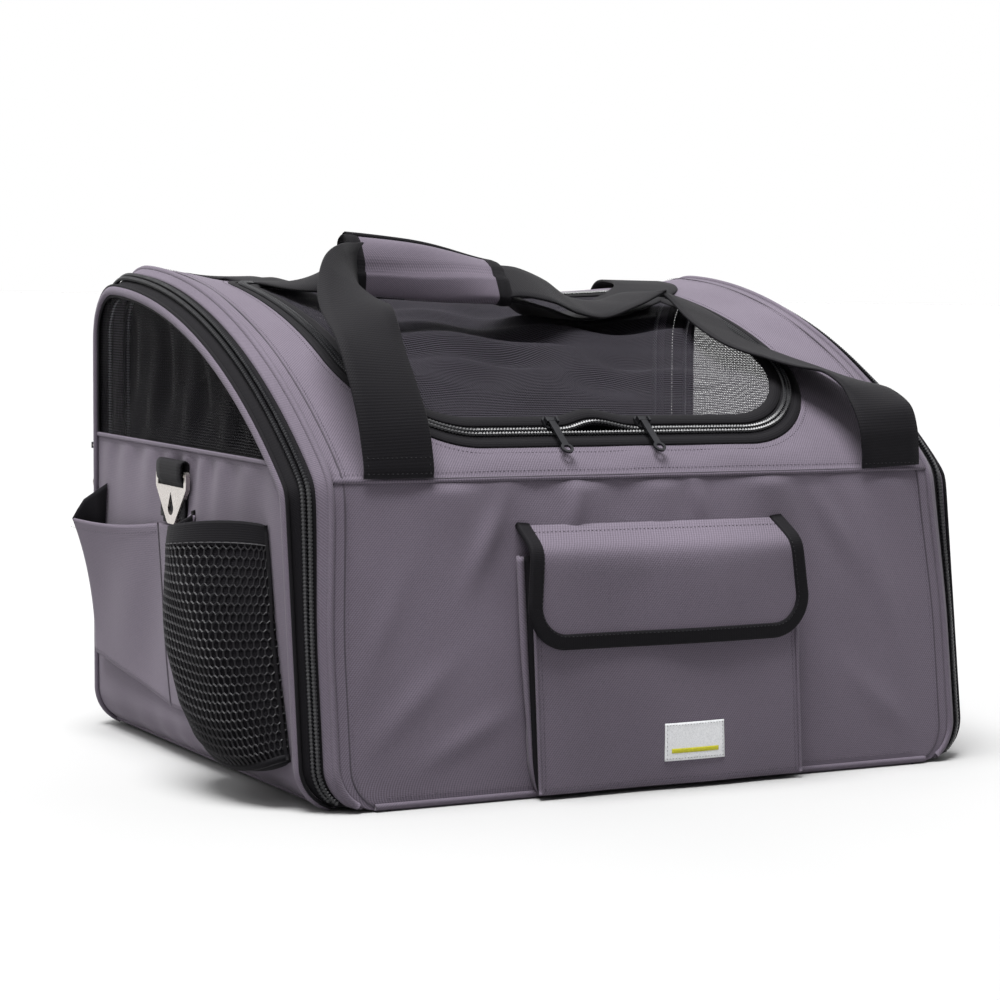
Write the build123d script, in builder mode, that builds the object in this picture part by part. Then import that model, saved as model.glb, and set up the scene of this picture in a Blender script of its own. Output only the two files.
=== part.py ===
"""Soft-sided pet carrier bag: a fabric shell with two zipped end doors, a zipped mesh roof flap,
a front pocket, two carrying straps under one padded grip, and a board and a mat on its floor.

+X runs along the bag, +Y to the back and +Z up. The origin is the middle of the base. Millimetres.
"""
import os
from math import atan2, cos, sin

from build123d import *

os.makedirs("parts", exist_ok=True)

# ---- Driving dimensions -------------------------------------------------------------------------
FRONT_Y, SEAM_Y, SEAM_Z = -200, -169, 205      # foot of the front, and the seam between front and roof
ROOF_MID, RIDGE = (-20, 301), (150, 336)       # the roof's arc, in Y and Z, up to the ridge
REAR_TOP, REAR_Y = (199, 287), 190             # top and foot of the back
CLOTH = 2.4                                    # padded cloth wall
SHELL_X, PIPING = 238, 4                       # half length of the cloth shell, and its end piping
ZIP_DEPTH, ZIP_GAP, TAPE = 8, 0.3, 3           # each zip half's slant, their gap, the tape's cut width
BAND_X = SHELL_X + PIPING                      # where the slanted end zips start
DOOR_X = BAND_X + 2 * ZIP_DEPTH                # outer face of the end doors
DOOR_INSET = 2 * ZIP_DEPTH + TAPE              # the door cloth's outline, in from the side outline
MESH_Z = 214                                   # seam between each door's cloth and its window
MESH = 1.5                                     # mesh and its edge tape
WIRE = 3                                       # spring wire of the hoops

OPENING_HALF_X, OPENING_FRONT, OPENING_REAR = 187, -147, 122
OPENING_FRONT_R, OPENING_REAR_R = 70, 40
ROOF_TAPE = 8                                  # width of each half of the roof's zip
FLAP_EDGE = 16.3                               # from the opening's edge to the flap's mesh

WEBBING, WEBBING_T = 50, 2                     # carrying straps
STRAP_X = 190                                  # middle of a strap's foot
STRAP_GAP = 3.5                                # free height of a slack strap over the cloth
GRIP_X0, GRIP_X1 = -144, -20                   # ends of the padded grip
GRIP_Z0, GRIP_Z1, GRIP_T = 316.5, 358, 18
STRAP_Z0, STRAP_Z1 = 318.5, 355.5              # edges of the straps inside the grip

POCKET_HALF_X, POCKET_TOP = 102, 155           # front pocket
POCKET_FOOT_DEPTH, POCKET_MOUTH_DEPTH = 11, 19
POCKET_FLAP_TOP, POCKET_FLAP_FOOT = 174, 96
POCKET_FLAP_HALF_X, POCKET_FLAP_R, BINDING = 110, 28, 9
LABEL_X, LABEL_Z, LABEL_W, LABEL_H = 15.5, 31, 47, 25

TAB_Y, TAB_Z, TAB_W = 22, 196, 44              # webbing tab that holds a strap ring on each door
BELLOWS_Y0, BELLOWS_Y1, BELLOWS_FOOT, BELLOWS_TOP = 48, 170, 38, 168
BOTTLE_Y, BOTTLE_HALF_Y, BOTTLE_DEPTH = -88, 58, 45
BOTTLE_FOOT, BOTTLE_TOP, BOTTLE_BAND = 26, 152, 14
TOP_SLIDER_X = (-57, 15)                       # the roof zip's two sliders
DOOR_SLIDER_Z = 205                            # the door zips' sliders, on the back edge
FAR = 700                                      # longer than the bag, for cutting blocks

# ---- The roof's circle, for the roof, the flap and the straps --------------------------------------
roof_arc = ThreePointArc((SEAM_Y, SEAM_Z), ROOF_MID, RIDGE)
ROOF_R = roof_arc.radius
ROOF_CENTRE = roof_arc.arc_center


def roof_height(y, above=0):
    """Height of the roof's surface, or of a surface above it, at a given Y."""
    return ROOF_CENTRE.Y + ((ROOF_R + above) ** 2 - (y - ROOF_CENTRE.X) ** 2) ** 0.5


def front_y(z):
    """Y of the leaning front face at a height."""
    return FRONT_Y + (SEAM_Y - FRONT_Y) * z / SEAM_Z


def side_outline(inset):
    """The shell's side outline in Y and Z, set in from its outer face, or out if negative."""
    with BuildSketch() as outline:
        with BuildLine():
            Line((FRONT_Y, 0), (SEAM_Y, SEAM_Z))
            roof = ThreePointArc((SEAM_Y, SEAM_Z), ROOF_MID, RIDGE)
            TangentArc(RIDGE, REAR_TOP, tangent=roof % 1)
            Polyline(REAR_TOP, (REAR_Y, 0), (FRONT_Y, 0))
        make_face()
        if inset:
            offset(amount=-inset, kind=Kind.INTERSECTION)
    return outline.sketch


def side_ring(outer, inner):
    """The strip between two side outlines."""
    with BuildSketch() as ring:
        add(side_outline(outer))
        add(side_outline(inner), mode=Mode.SUBTRACT)
    return ring.sketch


def opening_outline(inset):
    """The roof opening's outline seen from above, set in from its edge."""
    with BuildSketch() as outline:
        with BuildLine():
            Polyline((-OPENING_HALF_X, OPENING_FRONT), (OPENING_HALF_X, OPENING_FRONT),
                     (OPENING_HALF_X, OPENING_REAR), (-OPENING_HALF_X, OPENING_REAR), close=True)
        make_face()
        fillet(outline.vertices().group_by(Axis.Y)[0], OPENING_FRONT_R)
        fillet(outline.vertices().group_by(Axis.Y)[-1], OPENING_REAR_R)
        if inset:
            offset(amount=-inset)
    return outline.sketch


def pocket_flap_outline(inset):
    """The pocket flap's outline in X and Z, narrower at its top, set in along its sides and foot."""
    half_x, foot = POCKET_FLAP_HALF_X - inset, POCKET_FLAP_FOOT + inset
    with BuildSketch() as outline:
        with BuildLine():
            Polyline((-half_x, foot), (half_x, foot), (half_x - 5, SEAM_Z), (5 - half_x, SEAM_Z), close=True)
        make_face()
        fillet(outline.vertices().group_by(Axis.Y)[0], POCKET_FLAP_R - inset)
    return outline.sketch


def save(builder, name):
    """Label a finished piece and write it."""
    builder.part.label = name
    export_step(builder.part, f"parts/{name}.step")


# ---- Shell panels ------------------------------------------------------------------------------------
with BuildPart() as front_panel:
    with BuildSketch(Plane.YZ):
        add(side_ring(0, CLOTH))
        with Locations((FRONT_Y, (CLOTH + SEAM_Z) / 2)):
            Rectangle(2 * (SEAM_Y - FRONT_Y) + 40, SEAM_Z - CLOTH, mode=Mode.INTERSECT)
    extrude(amount=SHELL_X, both=True)
save(front_panel, "front_panel")

with BuildPart() as roof_panel:
    with BuildSketch(Plane.YZ):
        add(side_ring(0, CLOTH))
        with Locations((RIDGE[0], SEAM_Z)):
            Rectangle(FAR, FAR, align=(Align.MAX, Align.MIN), mode=Mode.INTERSECT)
    extrude(amount=SHELL_X, both=True)
    with BuildSketch():
        add(opening_outline(0))
    extrude(amount=FAR, mode=Mode.SUBTRACT)
save(roof_panel, "roof_panel")

with BuildPart() as back_panel:
    with BuildSketch(Plane.YZ):
        add(side_ring(0, CLOTH))
        with Locations((RIDGE[0], CLOTH)):
            Rectangle(FAR, FAR, align=(Align.MIN, Align.MIN), mode=Mode.INTERSECT)
    extrude(amount=SHELL_X, both=True)
save(back_panel, "back_panel")

with BuildPart() as base_panel:
    with BuildSketch(Plane.YZ):
        add(side_outline(0))
        Rectangle(FAR, CLOTH, align=(Align.CENTER, Align.MIN), mode=Mode.INTERSECT)
    extrude(amount=SHELL_X, both=True)
save(base_panel, "base_panel")

# ---- Floor board, mat and the boards inside the front and the back --------------------------------------
BOARD_T, MAT_T, LINING_GAP = 3.6, 16, 6
for name, bottom, thickness, edge in (("base_board", CLOTH, BOARD_T, 8),
                                      ("floor_mat", CLOTH + BOARD_T, MAT_T, 10)):
    with BuildPart() as floor_piece:
        with BuildSketch(Plane.XY.offset(bottom)):
            with Locations((0, (FRONT_Y + REAR_Y) / 2)):
                RectangleRounded(2 * (SHELL_X - edge), REAR_Y - FRONT_Y - 2 * edge - LINING_GAP, 12)
        extrude(amount=thickness)
        if name == "floor_mat":
            fillet(floor_piece.edges().group_by(Axis.Z)[-1], 5)
    save(floor_piece, name)

STIFFENER = 1.5
for name, y_side in (("front_stiffener", Align.MAX), ("back_stiffener", Align.MIN)):
    with BuildPart() as stiffener:
        with BuildSketch(Plane.YZ):
            add(side_ring(CLOTH, CLOTH + STIFFENER))
            with Locations((0, CLOTH + BOARD_T + MAT_T + LINING_GAP)):
                Rectangle(FAR, SEAM_Z - 50, align=(y_side, Align.MIN), mode=Mode.INTERSECT)
        extrude(amount=SHELL_X - LINING_GAP, both=True)
    save(stiffener, name)

# ---- Roof opening's zip half and the flap that closes it --------------------------------------------------
with BuildPart() as roof_zipper:
    with BuildSketch(Plane.YZ):
        add(side_ring(-1, CLOTH))
    extrude(amount=SHELL_X, both=True)
    with BuildSketch(Plane.XY.offset(SEAM_Z)):
        add(opening_outline(0))
        add(opening_outline(ROOF_TAPE), mode=Mode.SUBTRACT)
    extrude(amount=FAR, mode=Mode.INTERSECT)
save(roof_zipper, "roof_zipper")

FLAP_TAPE_IN = ROOF_TAPE + ZIP_GAP
FLAP_COIL = 4
for name, out, inner, above, below in (
        ("flap_zipper", FLAP_TAPE_IN, FLAP_TAPE_IN + FLAP_COIL, 1, CLOTH),
        ("flap_binding", FLAP_TAPE_IN + FLAP_COIL, FLAP_EDGE, 0.5, CLOTH),
        ("flap_mesh", FLAP_EDGE, None, 0, MESH)):
    with BuildPart() as flap_piece:
        with BuildSketch(Plane.YZ):
            add(side_ring(-above, below))
        extrude(amount=SHELL_X, both=True)
        with BuildSketch(Plane.XY.offset(SEAM_Z)):
            add(opening_outline(out))
            if inner:
                add(opening_outline(inner), mode=Mode.SUBTRACT)
        extrude(amount=FAR, mode=Mode.INTERSECT)
    save(flap_piece, name)

# ---- Front pocket, its label and its flap ------------------------------------------------------------------
POCKET_WALL = 1.6

def pocket_front_y(z):
    """Y of the pocket's outer face at a height."""
    depth = POCKET_FOOT_DEPTH + (POCKET_MOUTH_DEPTH - POCKET_FOOT_DEPTH) * z / POCKET_TOP
    return front_y(z) - depth


with BuildPart() as front_pocket:
    with BuildSketch(Plane.YZ):
        with BuildLine():
            Polyline((front_y(3), 3), (pocket_front_y(3), 3), (pocket_front_y(POCKET_TOP), POCKET_TOP),
                     (front_y(POCKET_TOP), POCKET_TOP), close=True)
        make_face()
    extrude(amount=POCKET_HALF_X, both=True)
    with BuildSketch(Plane.YZ):
        with BuildLine():
            Polyline((front_y(5), 5), (pocket_front_y(5) + POCKET_WALL, 5),
                     (pocket_front_y(POCKET_TOP + 5) + POCKET_WALL, POCKET_TOP + 5),
                     (front_y(POCKET_TOP + 5), POCKET_TOP + 5), close=True)
        make_face()
    extrude(amount=POCKET_HALF_X - POCKET_WALL, both=True, mode=Mode.SUBTRACT)
save(front_pocket, "front_pocket")

POCKET_LEAN = atan2(pocket_front_y(POCKET_TOP) - pocket_front_y(0), POCKET_TOP)


def pocket_face(z, x=0):
    """A plane on the pocket's outer face at a height, its normal pointing out."""
    return Plane((x, pocket_front_y(z), z), x_dir=(1, 0, 0), z_dir=(0, -cos(POCKET_LEAN), sin(POCKET_LEAN)))


with BuildPart() as label:
    with BuildSketch(pocket_face(LABEL_Z, LABEL_X)):
        Rectangle(LABEL_W, LABEL_H)
    extrude(amount=0.6)
save(label, "label")

PATCH_W, PATCH_H, PATCH_T, PATCH_Z = 60, 18, 0.9, 118
with BuildPart() as loop_patch:
    with BuildSketch(pocket_face(PATCH_Z)):
        Rectangle(PATCH_W, PATCH_H)
    extrude(amount=PATCH_T)
save(loop_patch, "loop_patch")

FLAP_CLEAR = 2.4                                # gap between the pocket and its flap, for the patches
FLAP_T = 2
FLAP_ROOT = (front_y(POCKET_FLAP_TOP) - 0.4, POCKET_FLAP_TOP)
FLAP_KNEE = (pocket_front_y(POCKET_TOP + 3) - FLAP_CLEAR, POCKET_TOP + 3)
FLAP_FOOT = (pocket_front_y(POCKET_FLAP_FOOT) - FLAP_CLEAR, POCKET_FLAP_FOOT)
for name in ("pocket_flap_panel", "pocket_flap_binding"):
    with BuildPart() as flap_cloth:
        with BuildSketch(Plane.YZ):
            with BuildLine():
                Polyline(FLAP_ROOT, FLAP_KNEE, FLAP_FOOT, (FLAP_FOOT[0] - FLAP_T, FLAP_FOOT[1]),
                         (FLAP_KNEE[0] - FLAP_T, FLAP_KNEE[1] + 1),
                         (FLAP_ROOT[0], FLAP_ROOT[1] + FLAP_T), close=True)
            make_face()
        extrude(amount=POCKET_FLAP_HALF_X, both=True)
        with BuildSketch(Plane.XZ):
            if name == "pocket_flap_panel":
                add(pocket_flap_outline(BINDING))
            else:
                add(pocket_flap_outline(0))
                add(pocket_flap_outline(BINDING), mode=Mode.SUBTRACT)
        extrude(amount=FAR, both=True, mode=Mode.INTERSECT)
    save(flap_cloth, name)

HOOK_GAP = 0.4
with BuildPart() as hook_patch:
    with BuildSketch(pocket_face(PATCH_Z).offset(PATCH_T + HOOK_GAP)):
        Rectangle(PATCH_W, PATCH_H)
    extrude(amount=FLAP_CLEAR - PATCH_T - HOOK_GAP - 0.3)
save(hook_patch, "hook_patch")

# ---- End zips, hoops, pipings and doors, the same at both ends ------------------------------------------------
TAB_T, TAB_UP, TAB_DOWN = 1.6, 8, 34            # webbing tab, above and below the ring's bar
RING_BAR_R, BAR_FIT = 2, 0.05                   # ring's bar, and its clearance in the webbing loop
RING_X = DOOR_X + RING_BAR_R + BAR_FIT + TAB_T + 0.5
RING_W, RING_LEG, RING_DROP, RING_TIP, RING_T = 54, 9, 34, 12, 3
RING_HOLE_R, RING_HOLE_DROP, RING_HOLE_TIP = 5, 23, 12  # its drop-shaped hole: round end and pointed end


def slanted_band(start_x, inset):
    """A zip half: a strip all round the side outline that slants in by as much as it stands out."""
    with BuildPart(mode=Mode.PRIVATE) as band:
        for edge, mode in ((inset, Mode.ADD), (inset + TAPE, Mode.SUBTRACT)):
            with BuildSketch(Plane.YZ.offset(start_x)):
                add(side_outline(edge))
            extrude(amount=ZIP_DEPTH - ZIP_GAP, taper=45, mode=mode)
    return band.part


def door_plate(low_z, high_z, thickness):
    """The part of the end door between two heights, as a plate with its outer face at DOOR_X."""
    with BuildPart(mode=Mode.PRIVATE) as plate:
        with BuildSketch(Plane.YZ.offset(DOOR_X - thickness)):
            add(side_outline(DOOR_INSET))
            with Locations((0, low_z)):
                Rectangle(FAR, high_z - low_z, align=(Align.CENTER, Align.MIN), mode=Mode.INTERSECT)
        extrude(amount=thickness)
    return plate.part


def end_ring(start_x, depth, outer, inner):
    """A hoop that follows the side outline."""
    with BuildPart(mode=Mode.PRIVATE) as hoop:
        with BuildSketch(Plane.YZ.offset(start_x)):
            add(side_ring(outer, inner))
        extrude(amount=depth)
    return hoop.part


def strap_tab():
    """A webbing tab sewn flat to the door, with a loop round the ring's bar."""
    loop_r = RING_BAR_R + BAR_FIT + TAB_T
    with BuildPart(mode=Mode.PRIVATE) as tab:
        with BuildSketch(Plane.XZ.offset(-TAB_Y)):
            with Locations((DOOR_X, TAB_Z - TAB_DOWN)):
                Rectangle(TAB_T, TAB_UP + TAB_DOWN, align=(Align.MIN, Align.MIN))
            with Locations((RING_X, TAB_Z)):
                Circle(loop_r)
                Circle(RING_BAR_R + BAR_FIT, mode=Mode.SUBTRACT)
        extrude(amount=TAB_W / 2, both=True)
    return tab.part


def strap_ring():
    """A flat triangular ring with a drop-shaped hole, hung on a round bar through the tab."""
    notch = TAB_W + 2
    with BuildPart(mode=Mode.PRIVATE) as ring:
        with BuildSketch(Plane.YZ.offset(RING_X - RING_T / 2)) as plate:
            with BuildLine():
                Polyline((TAB_Y - RING_W / 2, TAB_Z - RING_LEG), (TAB_Y - RING_W / 2, TAB_Z + 3),
                         (TAB_Y + RING_W / 2, TAB_Z + 3), (TAB_Y + RING_W / 2, TAB_Z - RING_LEG),
                         (TAB_Y + RING_TIP / 2, TAB_Z - RING_DROP), (TAB_Y - RING_TIP / 2, TAB_Z - RING_DROP),
                         close=True)
            make_face()
            fillet(plate.vertices().group_by(Axis.Z)[0], 4)
            with Locations((TAB_Y, TAB_Z + 3)):
                Rectangle(notch, RING_LEG + 2, align=(Align.CENTER, Align.MAX), mode=Mode.SUBTRACT)
            with BuildLine():
                drop = ThreePointArc((TAB_Y - RING_HOLE_R, TAB_Z - RING_HOLE_DROP),
                                     (TAB_Y, TAB_Z - RING_HOLE_DROP - RING_HOLE_R),
                                     (TAB_Y + RING_HOLE_R, TAB_Z - RING_HOLE_DROP))
                Polyline(drop @ 1, (TAB_Y, TAB_Z - RING_HOLE_TIP), drop @ 0)
            make_face(mode=Mode.SUBTRACT)
        extrude(amount=RING_T)
        with BuildSketch(Plane.XZ.offset(-TAB_Y)):
            with Locations((RING_X, TAB_Z)):
                Circle(RING_BAR_R)
        extrude(amount=notch / 2 + 1, both=True)
    return ring.part


END_PIECES = {
    "shell_piping": end_ring(SHELL_X, PIPING, 0, PIPING),
    "shell_hoop": end_ring(SHELL_X, WIRE, PIPING + 0.5, PIPING + 0.5 + WIRE),
    "shell_zipper": slanted_band(BAND_X, 0),
    "door_zipper": slanted_band(BAND_X + ZIP_DEPTH, ZIP_DEPTH),
    "door_piping": end_ring(DOOR_X, TAPE, DOOR_INSET - PIPING, DOOR_INSET),
    "door_hoop": end_ring(DOOR_X - CLOTH - WIRE - 0.5, WIRE, DOOR_INSET + 0.5, DOOR_INSET + 0.5 + WIRE),
    "door_panel": door_plate(0, MESH_Z, CLOTH),
    "door_mesh": door_plate(MESH_Z, FAR, MESH),
    "tab": strap_tab(),
    "ring": strap_ring(),
}

for side in ("left", "right"):
    for name, piece in END_PIECES.items():
        with BuildPart() as end_piece:
            add(piece)
            if side == "left":
                mirror(about=Plane.YZ, mode=Mode.REPLACE)
        save(end_piece, f"{side}_{name}")

# ---- Pockets on the left door --------------------------------------------------------------------------------
BELLOWS_WALL, BELLOWS_FOOT_DEPTH, BELLOWS_MOUTH_DEPTH = 1.6, 9, 26
with BuildPart() as bellows_pocket:
    for shrink, mode in ((0, Mode.ADD), (BELLOWS_WALL, Mode.SUBTRACT)):
        top = BELLOWS_TOP + shrink
        with BuildSketch(Plane.XZ.offset(-BELLOWS_Y0 - shrink)):
            with BuildLine():
                Polyline((-DOOR_X, BELLOWS_FOOT + shrink),
                         (-DOOR_X - BELLOWS_FOOT_DEPTH + shrink, BELLOWS_FOOT + shrink),
                         (-DOOR_X - BELLOWS_MOUTH_DEPTH + shrink, top), (-DOOR_X, top), close=True)
            make_face()
        extrude(amount=-(BELLOWS_Y1 - BELLOWS_Y0 - 2 * shrink), mode=mode)
save(bellows_pocket, "bellows_pocket")


def bottle_ring(inner_only):
    """The bottle pocket's half-oval, whole or as its thin wall."""
    wall = 1.4
    with BuildSketch() as oval:
        with Locations((-DOOR_X, BOTTLE_Y)):
            Ellipse(BOTTLE_DEPTH, BOTTLE_HALF_Y)
            if inner_only:
                Ellipse(BOTTLE_DEPTH - wall, BOTTLE_HALF_Y - wall, mode=Mode.SUBTRACT)
            Rectangle(BOTTLE_DEPTH, 2 * BOTTLE_HALF_Y, align=(Align.MIN, Align.CENTER), mode=Mode.SUBTRACT)
    return oval.sketch


with BuildPart() as bottle_pocket:
    with BuildSketch(Plane.XY.offset(BOTTLE_FOOT)):
        add(bottle_ring(False))
    extrude(amount=1.4)
    with BuildSketch(Plane.XY.offset(BOTTLE_FOOT)):
        add(bottle_ring(True))
    extrude(amount=BOTTLE_TOP - BOTTLE_FOOT)
save(bottle_pocket, "bottle_pocket")

with BuildPart() as bottle_band:
    with BuildSketch(Plane.XY.offset(BOTTLE_TOP)):
        add(bottle_ring(True))
    extrude(amount=BOTTLE_BAND)
save(bottle_band, "bottle_band")

# ---- Carrying straps and the padded grip -------------------------------------------------------------------------
STRAP_FRONT_Y, STRAP_REAR_Y = 0, 2.6            # middle planes of the two straps inside the grip
SLACK_FRONT = (-24, 20)                         # Y of each slack strap's edges where it lies on the roof
SLACK_REAR = (24, 68)
LINK_W = 6                                      # drop from the grip's end to the slack strap
REAR_STRAP_FOOT_Z = 282


def lying_band(low_y, high_y, x0, x1, low_z=0.0):
    """Webbing that lies slack over the side outline, between two values of Y."""
    with BuildPart(mode=Mode.PRIVATE) as band:
        with BuildSketch(Plane.YZ.offset(x0)):
            add(side_ring(-STRAP_GAP - WEBBING_T, -STRAP_GAP))
            with Locations(((low_y + high_y) / 2, low_z)):
                Rectangle(high_y - low_y, FAR, align=(Align.CENTER, Align.MIN), mode=Mode.INTERSECT)
        extrude(amount=x1 - x0)
    return band.part


def strap_leg(points):
    """A strap's left leg: a bent strip of webbing along points in Y and Z."""
    with BuildPart(mode=Mode.PRIVATE) as leg:
        with BuildSketch(Plane.YZ.offset(-STRAP_X)):
            with BuildLine():
                path = Polyline(*points)
            trace(path, line_width=WEBBING_T)
        extrude(amount=WEBBING / 2, both=True)
    return leg.part


def upright_strip(x0, x1, y, z0, z1):
    """Webbing on edge, along X."""
    with BuildPart(mode=Mode.PRIVATE) as strip:
        with Locations(((x0 + x1) / 2, y, (z0 + z1) / 2)):
            Box(x1 - x0, WEBBING_T, z1 - z0)
    return strip.part


GRIP_MID_Z = (STRAP_Z0 + STRAP_Z1) / 2
LEG_TOP_Z = GRIP_MID_Z + 8                      # where a leg runs into the grip
LEFT_EDGE, RIGHT_EDGE = -STRAP_X - WEBBING / 2, STRAP_X + WEBBING / 2
front_foot = (SEAM_Y - 3, SEAM_Z + 2.5)
front_parts = [
    strap_leg([front_foot, (-160, 233), (-100, 287), (STRAP_FRONT_Y, LEG_TOP_Z)]),
    upright_strip(LEFT_EDGE, GRIP_X1 + LINK_W, STRAP_FRONT_Y, STRAP_Z0, STRAP_Z1),
    upright_strip(GRIP_X1, GRIP_X1 + LINK_W, STRAP_FRONT_Y, roof_height(0, STRAP_GAP), STRAP_Z1),
    lying_band(*SLACK_FRONT, GRIP_X1, RIGHT_EDGE),
    lying_band(SEAM_Y - 2, SLACK_FRONT[0] + 1, RIGHT_EDGE - WEBBING, RIGHT_EDGE, SEAM_Z + 2),
]
with BuildPart() as front_strap:
    add(front_parts)
save(front_strap, "front_strap")

over_ridge = RIDGE[1] + STRAP_GAP + WEBBING_T / 2
rear_parts = [
    strap_leg([(STRAP_REAR_Y, LEG_TOP_Z), (70, 350), (140, over_ridge), (RIDGE[0] + 1, over_ridge)]),
    upright_strip(LEFT_EDGE, GRIP_X1 + LINK_W, STRAP_REAR_Y, STRAP_Z0, STRAP_Z1),
    lying_band(*SLACK_REAR, GRIP_X1, RIGHT_EDGE),
    lying_band(RIDGE[0], REAR_TOP[0] * 1.3, LEFT_EDGE, LEFT_EDGE + WEBBING, REAR_STRAP_FOOT_Z),
    lying_band(SLACK_REAR[1] - 1, REAR_TOP[0] * 1.3, RIGHT_EDGE - WEBBING, RIGHT_EDGE, REAR_STRAP_FOOT_Z),
]
link_top, link_low = 334, roof_height(SLACK_REAR[0], STRAP_GAP + 1)
with BuildPart() as rear_strap:
    add(rear_parts)
    with Locations((GRIP_X1 + LINK_W / 2, STRAP_REAR_Y - WEBBING_T / 2, link_top - 4)):
        Box(LINK_W, SLACK_REAR[0] + 3, 4 * WEBBING_T, align=(Align.CENTER, Align.MIN, Align.CENTER))
    with Locations((GRIP_X1 + LINK_W / 2, SLACK_REAR[0] + 1, link_top - 1)):
        Box(LINK_W, 5, link_top - link_low, align=(Align.CENTER, Align.MIN, Align.MAX))
save(rear_strap, "rear_strap")

SLOT_Y = (STRAP_FRONT_Y - WEBBING_T / 2 - 0.4, STRAP_REAR_Y + WEBBING_T / 2 + 0.4)
EDGE_X = 7                                      # the binding at each end of the grip
with BuildPart() as grip_pad:
    with BuildSketch(Plane.YZ.offset(GRIP_X0 + EDGE_X)):
        with Locations((0, (GRIP_Z0 + GRIP_Z1) / 2)):
            RectangleRounded(GRIP_T, GRIP_Z1 - GRIP_Z0, 6)
        with Locations((sum(SLOT_Y) / 2, (STRAP_Z0 + STRAP_Z1) / 2)):
            Rectangle(SLOT_Y[1] - SLOT_Y[0], STRAP_Z1 - STRAP_Z0 + 1, mode=Mode.SUBTRACT)
    extrude(amount=GRIP_X1 - GRIP_X0 - 2 * EDGE_X)
save(grip_pad, "grip_pad")

with BuildPart() as grip_binding:
    for x in (GRIP_X0, GRIP_X1 - EDGE_X):
        with BuildSketch(Plane.YZ.offset(x)):
            with Locations((0, (GRIP_Z0 + GRIP_Z1) / 2)):
                RectangleRounded(GRIP_T, GRIP_Z1 - GRIP_Z0, 6)
            with Locations((sum(SLOT_Y) / 2, (STRAP_Z0 + STRAP_Z1) / 2)):
                Rectangle(SLOT_Y[1] - SLOT_Y[0], STRAP_Z1 - STRAP_Z0 + 1, mode=Mode.SUBTRACT)
        extrude(amount=EDGE_X)
save(grip_binding, "grip_binding")

# ---- Zip sliders and their pulls -----------------------------------------------------------------------------------
SLIDER_L, SLIDER_W, SLIDER_T, BRIDGE_T = 11, 10, 2.2, 2.6
PULL_L, PULL_W, PULL_T = 32, 5, 1.4
EYE_R, EYE_HOLE_R = 4.5, 2.6
PIN_R, PIN_FIT = 0.9, 0.05
COIL_RISE = 1.5                                # how far a slider rides off the cloth's outer face


def zip_slider(base, pin_height):
    """A slider's top plate and the two cheeks that hold the pull's pin; local x runs along the pin."""
    with BuildPart(mode=Mode.PRIVATE) as slider:
        with BuildSketch(base):
            RectangleRounded(SLIDER_W, SLIDER_L, 2)
        extrude(amount=SLIDER_T)
        for x in (-SLIDER_W / 2 + 1, SLIDER_W / 2 - 1):
            with BuildSketch(base.offset(SLIDER_T)):
                with Locations((x, 0)):
                    Rectangle(1.6, 4.4)
            extrude(amount=pin_height - SLIDER_T + PIN_R + 1)
        with BuildSketch(Plane(base.origin + base.z_dir * pin_height, x_dir=base.y_dir, z_dir=base.x_dir)):
            Circle(PIN_R + PIN_FIT)
        extrude(amount=SLIDER_W, both=True, mode=Mode.SUBTRACT)
    return slider.part


def zip_pull(pin_plane, hang):
    """A pull: a pin through the slider's cheeks, a tongue that hangs along local -y, and an eye."""
    with BuildPart(mode=Mode.PRIVATE) as pull:
        with BuildSketch(Plane(pin_plane.origin, x_dir=pin_plane.y_dir, z_dir=pin_plane.x_dir)):
            Circle(PIN_R)
        extrude(amount=SLIDER_W / 2 - 0.2, both=True)
        with BuildSketch(pin_plane.offset(-PULL_T / 2)):
            Rectangle(PULL_W, hang - EYE_R, align=(Align.CENTER, Align.MAX))
            with Locations((0, -hang + EYE_R)):
                Circle(EYE_R)
                Circle(EYE_HOLE_R, mode=Mode.SUBTRACT)
        extrude(amount=PULL_T)
    return pull.part


PIN_HEIGHT = SLIDER_T + PIN_R + 0.8
top_zip_y = OPENING_FRONT + ROOF_TAPE + 5
roof_normal = (top_zip_y - ROOF_CENTRE.X, roof_height(top_zip_y) - ROOF_CENTRE.Y)
for side, x in zip(("left", "right"), TOP_SLIDER_X):
    on_zip = Plane((x, top_zip_y, roof_height(top_zip_y)), x_dir=(1, 0, 0), z_dir=(0, *roof_normal))
    slider_base = on_zip.offset(COIL_RISE)
    for name, piece in ((f"top_{side}_slider", zip_slider(slider_base, PIN_HEIGHT)),
                        (f"top_{side}_pull", zip_pull(slider_base.offset(PIN_HEIGHT), PULL_L))):
        with BuildPart() as zip_piece:
            add(piece)
        save(zip_piece, name)

# The door sliders ride on the slanted end zips, half way up the back edge, with their pins level.
back_y = REAR_Y + (REAR_TOP[0] - REAR_Y) * DOOR_SLIDER_Z / REAR_TOP[1] - ZIP_DEPTH
for side, sign in (("left", -1), ("right", 1)):
    on_zip = Plane((sign * (BAND_X + ZIP_DEPTH), back_y, DOOR_SLIDER_Z),
                   x_dir=(-sign, 1, 0), z_dir=(sign, 1, 0))
    if on_zip.y_dir.Z < 0:
        on_zip = Plane(on_zip.origin, x_dir=-on_zip.x_dir, z_dir=on_zip.z_dir)
    slider_base = on_zip.offset(COIL_RISE)
    for name, piece in ((f"{side}_door_slider", zip_slider(slider_base, PIN_HEIGHT)),
                        (f"{side}_door_pull", zip_pull(slider_base.offset(PIN_HEIGHT), PULL_L))):
        with BuildPart() as zip_piece:
            add(piece)
        save(zip_piece, name)
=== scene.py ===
"""Looks of the soft-sided pet carrier bag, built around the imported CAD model.

Lengths in this file are millimetres in the CAD frame until a mesh is made.
"""

from math import atan2, cos, pi, radians, sin, sqrt

import bpy
import numpy as np
from mathutils import Matrix, Vector


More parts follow.
